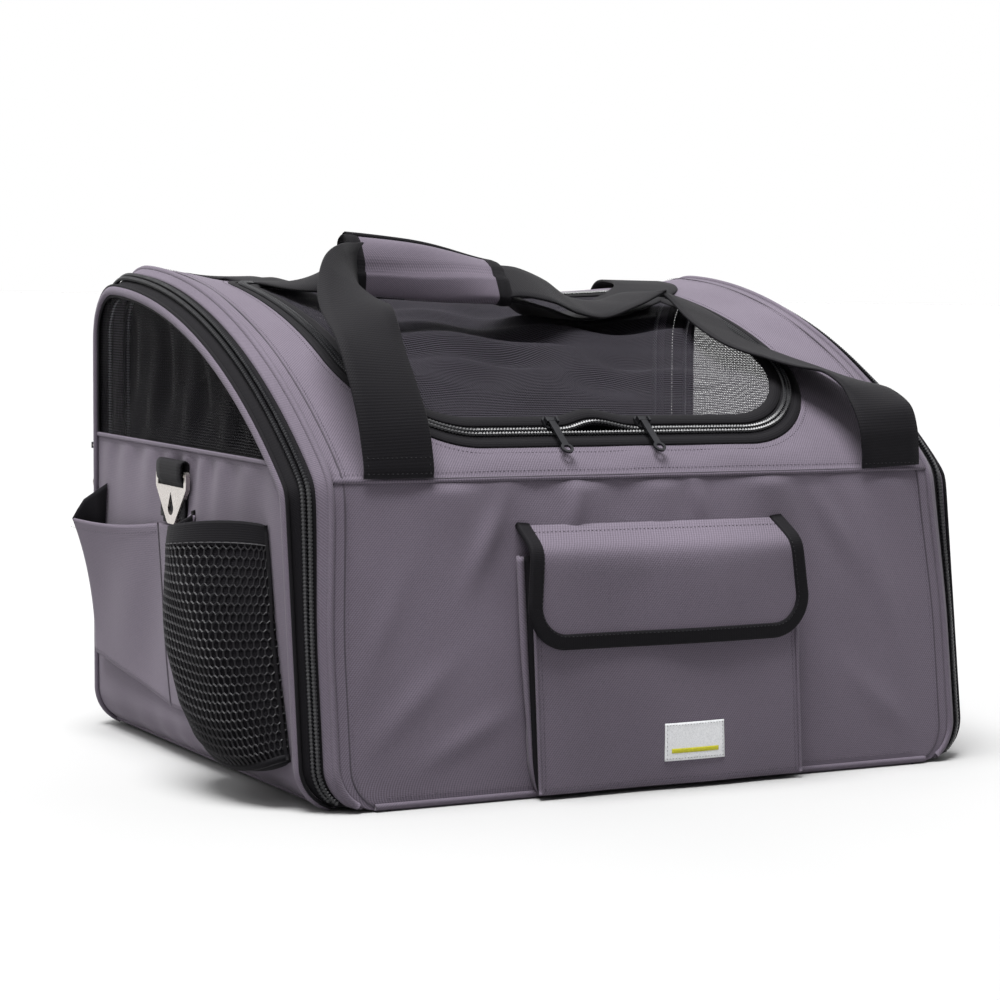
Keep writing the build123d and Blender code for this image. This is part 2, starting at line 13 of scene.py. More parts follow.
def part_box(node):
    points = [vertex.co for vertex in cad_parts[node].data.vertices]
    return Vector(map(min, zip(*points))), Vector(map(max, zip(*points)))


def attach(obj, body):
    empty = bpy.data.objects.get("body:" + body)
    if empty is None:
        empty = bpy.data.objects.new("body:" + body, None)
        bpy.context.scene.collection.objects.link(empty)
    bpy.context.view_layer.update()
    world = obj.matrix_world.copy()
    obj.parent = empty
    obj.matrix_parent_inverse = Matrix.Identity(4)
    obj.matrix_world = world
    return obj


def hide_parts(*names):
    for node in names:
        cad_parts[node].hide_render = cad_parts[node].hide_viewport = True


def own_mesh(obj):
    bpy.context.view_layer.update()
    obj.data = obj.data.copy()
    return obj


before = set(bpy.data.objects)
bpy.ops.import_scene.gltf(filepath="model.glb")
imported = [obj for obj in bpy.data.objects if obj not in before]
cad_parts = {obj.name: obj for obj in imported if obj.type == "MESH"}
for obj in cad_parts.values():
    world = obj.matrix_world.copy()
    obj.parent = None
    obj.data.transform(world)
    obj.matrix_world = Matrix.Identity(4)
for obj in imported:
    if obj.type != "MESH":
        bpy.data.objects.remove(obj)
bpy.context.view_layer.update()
MM = 0.001


def low(node):
    return np.array(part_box(node)[0]) / MM


def high(node):
    return np.array(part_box(node)[1]) / MM


# ---- Sizes, from the CAD model -------------------------------------------------------------------
SHELL_X = high("roof_panel")[0]                        # half length of the cloth shell
BAND_X = high("right_shell_piping")[0]                 # where the slanted end zips start
ZIP_MID_X = high("right_shell_zipper")[0]
DOOR_X = high("right_door_panel")[0]
FOOT_Y, SEAM_Z = low("front_panel")[1], high("front_panel")[2]
SEAM_Y = low("roof_panel")[1]
RIDGE_Y, RIDGE_Z = low("back_panel")[1], high("roof_panel")[2]
MESH_Z = low("right_door_mesh")[2]
OPENING = (low("roof_zipper")[0], high("roof_zipper")[0], low("roof_zipper")[1], high("roof_zipper")[1])
OPENING_SHIFT = 9                                      # how far the slack roof has pulled it to the left
OPENING_R = (80, 40)                                   # at the opening's front and rear corners
ZIP_STEP = ZIP_MID_X - BAND_X                          # slant and rise of each zip half
DOOR_INSET = 19
CORNER = 28                                            # rounding of the bottom's ends
TAPER = 6                                              # how much the shell narrows towards its top
SAG = 15                                               # how far the roof sags between its ends
CLOTH_T = 2.0

rng = np.random.default_rng(7)


# ---- Side outline --------------------------------------------------------------------------------
def circle_through(a, b, c):
    m = np.array([[b[0] - a[0], b[1] - a[1]], [c[0] - a[0], c[1] - a[1]]], float) * 2
    v = np.array([b[0] ** 2 - a[0] ** 2 + b[1] ** 2 - a[1] ** 2,
                  c[0] ** 2 - a[0] ** 2 + c[1] ** 2 - a[1] ** 2])
    centre = np.linalg.solve(m, v)
    return centre, np.hypot(*(np.array(a) - centre))


ROOF_MID = (-20, 301)
REAR_FOOT = (190, 0)
ROOF_CENTRE, ROOF_R = circle_through((SEAM_Y, SEAM_Z), ROOF_MID, (RIDGE_Y, RIDGE_Z))


def arc(centre, r, a0, a1, n):
    t = np.linspace(a0, a1, n)
    return np.stack([centre[0] + r * np.cos(t), centre[1] + r * np.sin(t)], 1)


def resample(path, n=None, step=None):
    """The same path with evenly spaced points."""
    path = np.asarray(path, float)
    s = np.concatenate([[0], np.cumsum(np.linalg.norm(np.diff(path, axis=0), axis=1))])
    n = n or max(2, int(round(s[-1] / step)) + 1)
    t = np.linspace(0, s[-1], n)
    return np.stack([np.interp(t, s, path[:, k]) for k in range(path.shape[1])], 1)


def smooth_path(path, sigma_points):
    reach = int(3 * sigma_points)
    kernel = np.exp(-0.5 * (np.arange(-reach, reach + 1) / sigma_points) ** 2)
    kernel /= kernel.sum()
    head = 2 * path[0] - path[reach:0:-1]
    tail = 2 * path[-1] - path[-2:-reach - 2:-1]
    long = np.vstack([head, path, tail])
    return np.stack([np.convolve(long[:, k], kernel, "valid") for k in range(path.shape[1])], 1)


def make_outline():
    a_seam = atan2(SEAM_Z - ROOF_CENTRE[1], SEAM_Y - ROOF_CENTRE[0])
    a_ridge = atan2(RIDGE_Z - ROOF_CENTRE[1], RIDGE_Y - ROOF_CENTRE[0])
    roof = arc(ROOF_CENTRE, ROOF_R, a_seam, a_ridge, 200)
    rear_centre = (RIDGE_Y - 0.5, RIDGE_Z - 49)
    rear = arc(rear_centre, 49, pi / 2, 0.0, 30)
    line = [(FOOT_Y, 0.0), *roof, *rear, REAR_FOOT]
    return smooth_path(resample(line, step=2.0), 4)


OUTLINE = make_outline()
SEAM_I = int(np.argmin(np.hypot(OUTLINE[:, 0] - SEAM_Y, OUTLINE[:, 1] - SEAM_Z)))
RIDGE_I = int(np.argmin(np.abs(OUTLINE[:, 0] - RIDGE_Y) + (OUTLINE[:, 1] < 300) * 999))


def outline(inset=0.0):
    """The side outline in Y and Z, set in from its outer face."""
    t = np.gradient(OUTLINE, axis=0)
    t /= np.linalg.norm(t, axis=1)[:, None]
    return OUTLINE + np.stack([t[:, 1], -t[:, 0]], 1) * inset


def ease(t):
    t = np.clip(t, 0, 1)
    return t * t * (3 - 2 * t)


def settle(p):
    """Softens points of the bag: rounded bottom ends, a slight taper to the top and a sagging roof."""
    p = np.array(p, float)
    x, y, z = p[..., 0], p[..., 1], p[..., 2]
    a = np.abs(x)
    depth = np.clip((CORNER - z) / CORNER, 0, 1)
    corner = CORNER * (1 - np.sqrt(1 - depth ** 2)) * a / SHELL_X
    taper = TAPER * ease((z - 90) / 115) * np.where(a < BAND_X, a / BAND_X,
                                                   np.clip((DOOR_X - a) / (DOOR_X - BAND_X), 0, 1))
    across = np.clip(1 - (a / (SHELL_X - 2)) ** 2.6, 0, 1)
    sag = SAG * across * ease((y + 115) / 200) * ease((z - 190) / 120)
    return np.stack([np.sign(x) * (a - corner - taper), y, z - sag], -1)


FORWARD = np.array([0, -1.0, 0])
ROOF_UP = np.array([0, -0.5, 0.86])                   # out from the roof, about its middle


def roof_z(y):
    y = np.asarray(y, float)
    roof = OUTLINE[SEAM_I:RIDGE_I + 6]
    return np.interp(y, roof[:, 0], roof[:, 1])


def on_roof(x, y, above=0.0):
    """A point over the settled roof."""
    flat = np.stack(np.broadcast_arrays(np.asarray(x, float), np.asarray(y, float), roof_z(y)), -1)
    return settle(flat) + ROOF_UP * np.asarray(above, float)[..., None]


# ---- Materials -----------------------------------------------------------------------------------
def nodes_for(name, rough, spec=0.5, metallic=0.0, sheen=0.0):
    m = bpy.data.materials.new(name)
    m.use_nodes = True
    tree = m.node_tree
    b = tree.nodes["Principled BSDF"]
    for socket, value in (("Roughness", rough), ("Specular IOR Level", spec), ("Metallic", metallic),
                          ("Sheen Weight", sheen), ("Sheen Roughness", 0.5)):
        b.inputs[socket].default_value = value
    return m, tree, b


def node(tree, kind, inputs=(), **props):
    n = tree.nodes.new(kind)
    for k, v in props.items():
        setattr(n, k, v)
    for k, v in dict(inputs).items():
        if isinstance(v, bpy.types.NodeSocket):
            tree.links.new(v, n.inputs[k])
        else:
            n.inputs[k].default_value = v
    return n


def maths(tree, op, a, b=0.5, clamp=False):
    n = tree.nodes.new("ShaderNodeMath")
    n.operation, n.use_clamp = op, clamp
    for i, v in enumerate((a, b)):
        if isinstance(v, bpy.types.NodeSocket):
            tree.links.new(v, n.inputs[i])
        else:
            n.inputs[i].default_value = v
    return n.outputs[0]


def ramp(tree, fac, stops):
    n = tree.nodes.new("ShaderNodeValToRGB")
    tree.links.new(fac, n.inputs[0])
    while len(n.color_ramp.elements) < len(stops):
        n.color_ramp.elements.new(0.5)
    for e, (pos, colour) in zip(n.color_ramp.elements, stops):
        e.position, e.color = pos, (*colour, 1)
    return n.outputs[0]


def scaled(colour, k):
    return tuple(min(1.0, c * k) for c in colour)


def linear(tree, value, k, base, clamp=False):
    """The value times k, plus a base."""
    return maths(tree, "ADD", maths(tree, "MULTIPLY", value, k), base, clamp)


def mix(tree, a, share_a, b, share_b):
    return maths(tree, "ADD", maths(tree, "MULTIPLY", a, share_a), maths(tree, "MULTIPLY", b, share_b))


def object_coords(tree):
    return node(tree, "ShaderNodeTexCoord").outputs["Object"]


def noise(tree, where, scale, detail):
    return node(tree, "ShaderNodeTexNoise", {"Vector": where, "Scale": scale,
                                             "Detail": detail}).outputs["Fac"]


def surface(tree, b, colour, gloss, height, strength, depth=0.0003):
    """Joins up a shader's colour, roughness and relief; the depth is in metres."""
    tree.links.new(colour, b.inputs["Base Color"])
    tree.links.new(gloss, b.inputs["Roughness"])
    lift = node(tree, "ShaderNodeBump", {"Height": height, "Strength": strength, "Distance": depth})
    tree.links.new(lift.outputs[0], b.inputs["Normal"])


def weave_coords(tree, turn=0.0):
    pin = node(tree, "ShaderNodeUVMap", uv_map="weave")
    return node(tree, "ShaderNodeMapping", {"Vector": pin.outputs[0], "Rotation": (0, 0, turn)}).outputs[0]


WAVES_PER_UNIT = 20 / (2 * pi)                         # stripes per unit of a wave texture at scale 1
TWILL_TURN = 0.7                                       # radians


def bands(tree, coords, pitch_mm, axis="X"):
    """Stripes across the UV, one every pitch."""
    return node(tree, "ShaderNodeTexWave", {"Vector": coords, "Scale": 1000 / pitch_mm / WAVES_PER_UNIT,
                                            "Distortion": 0.0, "Detail": 1.0},
                bands_direction=axis, wave_profile="SIN").outputs["Fac"]


def fabric(name, colour, pitch, rough=0.85, bump=0.25, sheen=0.08, blotch=0.10, rib=None, spec=0.18,
           contrast=0.5):
    """Woven cloth: twill lines crossed by yarns, heathered colour and a little fading."""
    m, tree, b = nodes_for(name, rough, spec, sheen=sheen)
    across = weave_coords(tree)
    where = object_coords(tree)
    heather, cloud = noise(tree, where, 900, 2.0), noise(tree, where, 9, 3.0)
    height = mix(tree, bands(tree, weave_coords(tree, TWILL_TURN), pitch), 0.7,
                 bands(tree, across, pitch * 0.8, "Y"), 0.3)
    if rib:
        height = mix(tree, bands(tree, across, rib, "Y"), 0.5, height, 0.5)
    fading = maths(tree, "MULTIPLY", maths(tree, "SUBTRACT", cloud, 0.5), blotch * 4)
    tone = maths(tree, "ADD", mix(tree, height, contrast, heather, 1 - contrast), fading)
    shades = [(0.1, scaled(colour, 0.6)), (0.5, colour), (0.9, scaled(colour, 1.4))]
    surface(tree, b, ramp(tree, tone, shades), linear(tree, heather, 0.14, rough - 0.09), height, bump)
    return m


def netting(name, colour, pitch, cover=0.38, hole=0.06, thread_alpha=0.88):
    """Knitted mesh: rows and columns of thread with holes between them, seen through."""
    rough = 0.75
    m, tree, b = nodes_for(name, rough, 0.1, sheen=0.01)
    uv = weave_coords(tree)
    rows = bands(tree, uv, pitch, "Y")
    thread = maths(tree, "MAXIMUM", rows, maths(tree, "MULTIPLY", bands(tree, uv, pitch, "X"), 0.9))
    solid = maths(tree, "GREATER_THAN", thread, 1 - cover)
    cloud = noise(tree, object_coords(tree), 14, 3.0)
    shades = [(0.1, scaled(colour, 0.55)), (0.6, colour), (0.95, scaled(colour, 1.7))]
    surface(tree, b, ramp(tree, mix(tree, rows, 0.6, cloud, 0.4), shades),
            linear(tree, cloud, 0.2, rough - 0.1), thread, 0.4, 0.0004)
    tree.links.new(linear(tree, solid, thread_alpha - hole, hole, clamp=True), b.inputs["Alpha"])
    return m


def hard(name, colour, rough, metallic=0.0, grain=400.0, bump=0.05, spread=0.15):
    """Metal or plastic with fine grain, handling marks and uneven gloss."""
    m, tree, b = nodes_for(name, rough, 0.5, metallic)
    where = object_coords(tree)
    fine, wide = noise(tree, where, grain, 4.0), noise(tree, where, grain / 12, 2.0)
    marks = node(tree, "ShaderNodeTexVoronoi", {"Vector": where, "Scale": grain / 5},
                 feature="DISTANCE_TO_EDGE").outputs[0]
    shades = [(0.2, scaled(colour, 0.8)), (0.55, colour), (0.85, scaled(colour, 1.25))]
    gloss = maths(tree, "ADD", mix(tree, wide, spread, marks, 0.2), rough - spread / 2)
    surface(tree, b, ramp(tree, mix(tree, fine, 0.5, wide, 0.5), shades), gloss, fine, bump)
    return m


def piled(name, colour, scale, bump, rough=0.95):
    """Fleece, hook or loop: a dense short pile."""
    m, tree, b = nodes_for(name, rough, 0.2, sheen=0.4)
    where = object_coords(tree)
    tuft = node(tree, "ShaderNodeTexVoronoi", {"Vector": where, "Scale": scale}).outputs["Distance"]
    cloud = noise(tree, where, scale / 15, 4.0)
    shades = [(0.1, scaled(colour, 0.7)), (0.5, colour), (0.95, scaled(colour, 1.3))]
    surface(tree, b, ramp(tree, mix(tree, tuft, 0.6, cloud, 0.5), shades),
            linear(tree, cloud, 0.1, rough - 0.08), tuft, bump, 0.001)
    return m


GREY, BLACK = (0.118, 0.099, 0.128), (0.0062, 0.0056, 0.0072)
MAT = {
    "grey_cloth": fabric("grey_cloth", GREY, pitch=1.5, bump=0.35, contrast=0.6),
    "grey_piping": fabric("grey_piping", scaled(GREY, 0.95), pitch=1.3, bump=0.4),
    "webbing": fabric("black_webbing", BLACK, pitch=1.4, rough=0.7, bump=0.6, sheen=0.03, rib=2.1,
                      blotch=0.06, spec=0.1),
    "binding": fabric("black_binding", scaled(BLACK, 0.9), pitch=1.1, rough=0.75, bump=0.5, sheen=0.02,
                      rib=1.4, spec=0.1),
    "tape": fabric("zip_tape", scaled(BLACK, 0.95), pitch=1.0, rough=0.8, bump=0.45, sheen=0.02, spec=0.1),
    # Dark cloth: the bag's dark lining, and painted shade where a grey gusset turns in out of the light.
    "dark_cloth_and_painted_shade": fabric("dark_cloth_and_painted_shade", scaled(BLACK, 1.2), pitch=1.2, rough=0.85, bump=0.3, sheen=0.02,
                         spec=0.1),
    "grey_thread": fabric("grey_thread", scaled(GREY, 0.5), pitch=0.5, rough=0.7, bump=0.2),
    "black_thread": fabric("black_thread", scaled(BLACK, 1.8), pitch=0.5, rough=0.6, bump=0.2),
    "mesh": netting("black_mesh", scaled(BLACK, 0.9), pitch=1.9),
    # The roof flap's mesh: the windows' black mesh made lighter, as painted light from above.
    "roof_mesh_painted_light": netting("roof_mesh_painted_light", scaled(BLACK, 4.5), pitch=1.9),
    # Bottle pocket's inner net: its second layer, made dark and close as painted shade of the unlit cloth
    # behind it.
    "lining_net_and_painted_shade": netting("lining_net_and_painted_shade", scaled(BLACK, 1.2), pitch=1.2, cover=0.7, hole=0.8,
                          thread_alpha=0.97),
    "net": fabric("bottle_net", scaled(BLACK, 1.3), pitch=0.6, rough=0.55, bump=0.3, sheen=0.02, spec=0.35),
    "coil": hard("zip_coil", (0.012, 0.012, 0.014), 0.30, grain=900, bump=0.1),
    "black_metal": hard("black_metal", (0.028, 0.028, 0.032), 0.30, metallic=0.75, grain=700),
    "nickel": hard("nickel", (0.60, 0.56, 0.53), 0.24, metallic=1.0, grain=500, spread=0.12),
    "steel": hard("spring_steel", (0.25, 0.25, 0.27), 0.35, metallic=1.0),
    "plastic": hard("board_plastic", (0.03, 0.03, 0.034), 0.5, grain=250, bump=0.2),
    "fleece": piled("mat_fleece", (0.15, 0.135, 0.16), 500, 0.8),
    "hook_loop": piled("hook_loop", (0.02, 0.02, 0.022), 1300, 1.0, 0.8),
    "label": fabric("label_cloth", (0.74, 0.75, 0.77), pitch=0.6, rough=0.75, bump=0.15, blotch=0.02),
    "stripe": fabric("label_stripe", (0.50, 0.47, 0.03), pitch=0.5, rough=0.75, bump=0.15, blotch=0.02),
}


# ---- Mesh making ---------------------------------------------------------------------------------
def piece(name, verts, faces, material, body, slot, uv=None, replaces=(), thick=0.0, out=None, smooth=True,
          lining=None):
    """A mesh of points in millimetres that rides on a body."""
    verts = np.asarray(verts, float)
    me = bpy.data.meshes.new(name)
    me.from_pydata((verts * MM).tolist(), [], faces)
    me.update()
    if out is not None:
        total = sum((f.normal * f.area for f in me.polygons), Vector())
        if total.dot(Vector(out)) < 0:
            me.flip_normals()
    if uv is not None:
        layer = me.uv_layers.new(name="weave")
        index = np.zeros(len(me.loops), int)
        me.loops.foreach_get("vertex_index", index)
        layer.data.foreach_set("uv", (np.asarray(uv, float)[index] * MM).ravel())
    me.polygons.foreach_set("use_smooth", [smooth] * len(me.polygons))
    me.materials.append(MAT[material])
    ob = bpy.data.objects.new(name, me)
    bpy.context.scene.collection.objects.link(ob)
    if thick:
        mod = ob.modifiers.new("cloth", "SOLIDIFY")
        mod.thickness, mod.offset = thick * MM, -1
        if lining:
            me.materials.append(MAT[lining])
            mod.material_offset = 1
    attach(ob, body)
    if replaces:
        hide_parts(*([replaces] if isinstance(replaces, str) else replaces))
    return ob


def grid_faces(n, m, base=0, close_n=False, close_m=False):
    return [(base + i * m + j, base + (i + 1) % n * m + j, base + (i + 1) % n * m + (j + 1) % m,
             base + i * m + (j + 1) % m)
            for i in range(n if close_n else n - 1) for j in range(m if close_m else m - 1)]


def lengths(p):
    return np.concatenate([[0], np.cumsum(np.linalg.norm(np.diff(p, axis=0), axis=1))])


def grid_uv(p):
    """UV of a grid of points, in the cloth's own millimetres."""
    u, v = lengths(p[:, p.shape[1] // 2]), lengths(p[p.shape[0] // 2])
    return np.stack(np.meshgrid(u, v, indexing="ij"), -1).reshape(-1, 2)


def grid(name, p, material, body, slot, uv=None, **more):
    p = np.asarray(p, float)
    n, m = p.shape[:2]
    uv = grid_uv(p) if uv is None else np.asarray(uv).reshape(-1, 2)
    close_n = more.pop("close_n", False)
    return piece(name, p.reshape(-1, 3), grid_faces(n, m, close_n=close_n), material, body, slot, uv=uv,
                 **more)


def cloth(name, p, body, out, thick=CLOTH_T, **more):
    """A sheet of the grey cloth, dark on its inner side."""
    return grid(name, p, "grey_cloth", body, "grey_cloth", thick=thick, lining="dark_cloth_and_painted_shade", out=out, **more)


def unit(v):
    return v / np.maximum(np.linalg.norm(v, axis=-1, keepdims=True), 1e-9)


def frames(path, normal):
    """Tangent, sideways and outward directions along a path."""
    t = unit(np.gradient(path, axis=0))
    normal = np.broadcast_to(np.asarray(normal, float), path.shape)
    side = unit(np.cross(t, normal))
    return t, side, np.cross(side, t)


def sweep_mesh(path, normal, section, scale=None, closed=False):
    """Points, faces and UV of a section carried along a path."""
    path, section = np.asarray(path, float), np.asarray(section, float)
    t, side, out = frames(path, normal)
    if closed:
        t = unit(np.roll(path, -1, 0) - np.roll(path, 1, 0))
        side = unit(np.cross(t, np.broadcast_to(np.asarray(normal, float), path.shape)))
        out = np.cross(side, t)
    s = np.ones((len(path), 2)) if scale is None else np.asarray(scale, float)
    pts = (path[:, None] + side[:, None] * (section[None, :, 0] * s[:, :1])[..., None]
           + out[:, None] * (section[None, :, 1] * s[:, 1:])[..., None])
    n, m = pts.shape[:2]
    faces = grid_faces(n, m, close_n=closed, close_m=True)
    if not closed:
        faces += [tuple(range(m))[::-1], tuple((n - 1) * m + j for j in range(m))]
    around = lengths(np.vstack([section, section[:1]]))[:m]
    uv = np.stack(np.meshgrid(lengths(path), around, indexing="ij"), -1).reshape(-1, 2)[:, ::-1]
    return pts.reshape(-1, 3), faces, uv


def oval(w, h, n=10):
    t = np.linspace(0, 2 * pi, n, endpoint=False)
    return np.stack([w / 2 * np.cos(t), h / 2 * np.sin(t)], 1)


def strip_section(w, t, edge=0.8):
    """A flat tape's section with soft edges."""
    w, t = w / 2, t / 2
    xs = np.linspace(-w + edge, w - edge, 7)
    top = [(x, t) for x in xs]
    return np.array([(-w, 0), *top, (w, 0), *[(x, -t) for x in xs[::-1]]])


def merged(parts):
    verts, faces, uvs, base = [], [], [], 0
    for v, f, u in parts:
        verts.append(v)
        uvs.append(u)
        faces += [tuple(i + base for i in face) for face in f]
        base += len(v)
    return np.vstack(verts), faces, np.vstack(uvs)


def tube(name, path, normal, section, material, body, slot, closed=False, scale=None, **more):
    v, f, u = sweep_mesh(path, normal, section, scale, closed)
    return piece(name, v, f, material, body, slot, uv=u, **more)


COIL_PITCH, COIL_W, COIL_H = 2.4, 3.9, 3.0


def coil_mesh(path, normal):
    """One row of a coil zip's teeth, as a ribbed bead."""
    path = resample(path, step=COIL_PITCH / 2)
    ribs = 0.55 + 0.45 * (np.arange(len(path)) % 2)
    normal = np.asarray(normal, float)
    if normal.ndim == 2:
        normal = resample(normal, n=len(path))
    return sweep_mesh(path, normal, oval(COIL_W, COIL_H, 6), np.stack([ribs, ribs], 1))


def stitch_mesh(path, normal, pitch=3.0, length=2.2, w=0.5, lift=0.15):
    """A row of stitches, each a short bead of thread."""
    path = np.asarray(path, float)
    normal = np.asarray(normal, float)
    n = max(2, int(lengths(path)[-1] / pitch))
    points = resample(path, n=n)
    normal = resample(normal, n=n) if normal.ndim == 2 else normal
    t, side, out = frames(points, normal)
    half = length / 2
    ring = [side * w / 2, out * w / 2, -side * w / 2, -out * w / 2]
    verts = np.stack([points - t * half, *[points + r for r in ring], points + t * half],
                     1) + (out * lift)[:, None]
    faces = [(b, b + 1 + k, b + 1 + (k + 1) % 4) for b in range(0, 6 * n, 6) for k in range(4)]
    faces += [(b + 5, b + 1 + (k + 1) % 4, b + 1 + k) for b in range(0, 6 * n, 6) for k in range(4)]
    flat = verts.reshape(-1, 3)
    return flat, faces, flat[:, :2]


def stitches(name, rows, body, slot, material="grey_thread", **size):
    """Rows of stitches as one piece; each row is a path and the cloth's outward direction."""
    v, f, u = merged([stitch_mesh(path, normal, **size) for path, normal in rows])
    return piece(name, v, f, material, body, slot, uv=u)


def waves(p, count, wavelength, amount):
    """Gentle unevenness of cloth, the same in each run."""
    p = np.asarray(p, float)
    total = np.zeros(p.shape[:-1])
    for _ in range(count):
        direction = unit(rng.normal(size=3))
        total += np.sin(p @ direction * 2 * pi / (wavelength * rng.uniform(0.7, 1.4))
                        + rng.uniform(0, 6.28))
    return total * amount / sqrt(count)


# ---- Shell ---------------------------------------------------------------------------------------
def front_relief(x, z):
    """How far the front cloth stands out: a soft crown, folds under the seam and creases low on the left."""
    crown = 4.5 * (1 - (x / SHELL_X) ** 2) * np.sin(pi * np.clip(z / SEAM_Z, 0, 1))
    fade = np.clip(1 - np.abs(x) / (SHELL_X - 6), 0, 1) ** 0.4
    under = np.exp(-np.clip(SEAM_Z - z, 0, None) / 42) * ease((SEAM_Z - z) / 10)
    folds = under * (3.6 * np.sin((x + 0.35 * (SEAM_Z - z)) / 13.5 + 1.2 * np.sin(x / 47))
                     + 1.5 * np.sin((x - 0.5 * (SEAM_Z - z)) / 8.3 + 2))
    over_pocket = 1 - 0.5 * np.exp(-(x / 95) ** 6)
    total = crown + folds * fade * over_pocket - 1.5 * (1 - over_pocket) * ease((z - 150) / 40)
    for x0, z0, angle, length, width, amount in (
            # x, z, angle, length, width, depth
            (-188, 62, 40, 60, 9, 1.7), (-150, 40, 25, 55, 8, 1.3), (-205, 110, 65, 70, 9, 1.2),
            (150, 170, -60, 60, 9, 1.6), (188, 120, -75, 80, 10, 1.2), (-128, 165, 62, 50, 8, 1.8),
            (180, 45, 140, 60, 10, 1.1), (-60, 185, 80, 30, 7, 1.4), (40, 188, 100, 30, 7, 1.2)):
        a = radians(angle)
        along, off = (x - x0) * cos(a) + (z - z0) * sin(a), -(x - x0) * sin(a) + (z - z0) * cos(a)
        total = total + 2.2 * amount * np.exp(-(along / length) ** 2 * 3 - (off / width) ** 2) * fade
    return total


def front_surface(x, z, above=0.0):
    """A point on the front cloth at X and height Z."""
    x, z = np.broadcast_arrays(np.asarray(x, float), np.asarray(z, float))
    y = np.interp(z, OUTLINE[:SEAM_I + 1, 1], OUTLINE[:SEAM_I + 1, 0])
    p = settle(np.stack([x, y, z], -1))
    p[..., 1] -= front_relief(x, z) + above
    return p


xs = np.linspace(-SHELL_X, SHELL_X, 191)
front_heights = OUTLINE[:SEAM_I + 1, 1]
front_points = front_surface(xs[:, None], front_heights[None, :])
cloth("front_cloth", front_points, "root", (0, -1, 0), replaces="front_panel")


OPEN_X = (high("top_left_slider")[0], low("top_right_slider")[0])


def opening_outline(inset):
    """The roof opening's outline from above, set in from its edge, and the way out at each point."""
    x0, x1, y0, y1 = OPENING
    x0, x1 = x0 - OPENING_SHIFT, x1 - OPENING_SHIFT
    pts, ways = [], []

    def side(a, b, way, count):
        for t in np.linspace(0, 1, count, endpoint=False):
            pts.append(np.array(a) * (1 - t) + np.array(b) * t + np.array(way) * -inset)
            ways.append(way)

    def corner(cx, cy, r, a0, steps):
        for t in np.linspace(0, pi / 2, steps, endpoint=False):
            way = (cos(a0 + t), sin(a0 + t))
            pts.append(np.array([cx, cy]) + np.array(way) * (r - inset))
            ways.append(way)

    rf, rr = OPENING_R
    side((x0 + rf, y0), (x1 - rf, y0), (0, -1), 60)
    corner(x1 - rf, y0 + rf, rf, -pi / 2, 30)
    side((x1, y0 + rf), (x1, y1 - rr), (1, 0), 40)
    corner(x1 - rr, y1 - rr, rr, 0, 20)
    side((x1 - rr, y1), (x0 + rr, y1), (0, 1), 60)
    corner(x0 + rr, y1 - rr, rr, pi / 2, 20)
    side((x0, y1 - rr), (x0, y0 + rf), (-1, 0), 40)
    corner(x0 + rf, y0 + rf, rf, pi, 30)
    pts = np.array(pts)
    if inset > ZIP_STEP:                               # the zip stands a little open between its two sliders
        x, y = pts[:, 0], pts[:, 1]
        share = np.clip((x - OPEN_X[0]) / (OPEN_X[1] - OPEN_X[0]), 0, 1)
        pts[:, 1] += np.where(y < y0 + 40, 6.0 * np.sin(pi * share) ** 2, 0)
    return pts, np.array(ways)


def ring_on_roof(name, inset0, inset1, above0, above1, steps, material, body, slot, bow=0.0, **more):
    """A strip round the roof opening between two insets, on the settled roof."""
    rows = []
    for k in range(steps + 1):
        t = k / steps
        pts, _ = opening_outline(inset0 + (inset1 - inset0) * t)
        lift = above0 + (above1 - above0) * t + bow * sin(pi * t)
        rows.append(on_roof(pts[:, 0], pts[:, 1], np.full(len(pts), lift)))
    p = np.array(rows).transpose(1, 0, 2)
    u = np.concatenate([[0], np.cumsum(np.linalg.norm(np.diff(p[:, 0], axis=0), axis=1))])
    uv = np.stack(np.meshgrid(u, np.linspace(0, abs(inset1 - inset0), steps + 1), indexing="ij"), -1)
    return grid(name, p, material, body, slot, uv=uv, close_n=True, **more)


def roof_cloth():
    """The roof as one sheet from the opening's edge out to the seams."""
    inner, ways = opening_outline(0)
    rx, y0, y1 = SHELL_X, SEAM_Y, RIDGE_Y
    outer = []
    for p, w in zip(inner, ways):
        reach = min((rx - p[0] if w[0] > 0 else p[0] + rx) / max(abs(w[0]), 1e-6),
                    (y1 - p[1] if w[1] > 0 else p[1] - y0) / max(abs(w[1]), 1e-6))
        outer.append(p + w * reach)
    outer = np.array(outer)
    for cx, cy in ((rx, y0), (rx, y1), (-rx, y0), (-rx, y1)):
        outer[np.argmin(np.hypot(outer[:, 0] - cx, outer[:, 1] - cy))] = (cx, cy)
    steps = 14
    rows = [inner * (1 - k / steps) + outer * k / steps for k in range(steps + 1)]
    flat = np.array(rows).transpose(1, 0, 2)
    p = on_roof(flat[..., 0], flat[..., 1], np.zeros(flat.shape[:2]))
    edge = np.minimum(np.linspace(0, 1, steps + 1), np.linspace(1, 0, steps + 1)) * 2
    p[..., 2] += (waves(flat @ np.array([[1, 0, 0], [0, 1, 0]]), 6, 70, 1.0)) * edge[None, :]
    uv = np.stack([flat[..., 0], flat[..., 1] * 1.25], -1)
    return cloth("roof_cloth", p, "root", (0, 0, 1), uv=uv, close_n=True, replaces="roof_panel")


roof_cloth()

back_path = OUTLINE[RIDGE_I:]
xb = np.linspace(-SHELL_X, SHELL_X, 121)
back_points = settle(np.stack(np.broadcast_arrays(xb[:, None], back_path[None, :, 0],
                                                  back_path[None, :, 1]), -1))
back_fade = np.sin(pi * np.clip(back_path[:, 1] / RIDGE_Z, 0, 1))[None,
                                                                  :] * (1 - (xb / SHELL_X) ** 2)[:, None]
back_points[..., 1] += back_fade * (3.5 + waves(back_points, 5, 110, 1.2))
cloth("back_cloth", back_points, "root", (0, 1, 0), replaces="back_panel")

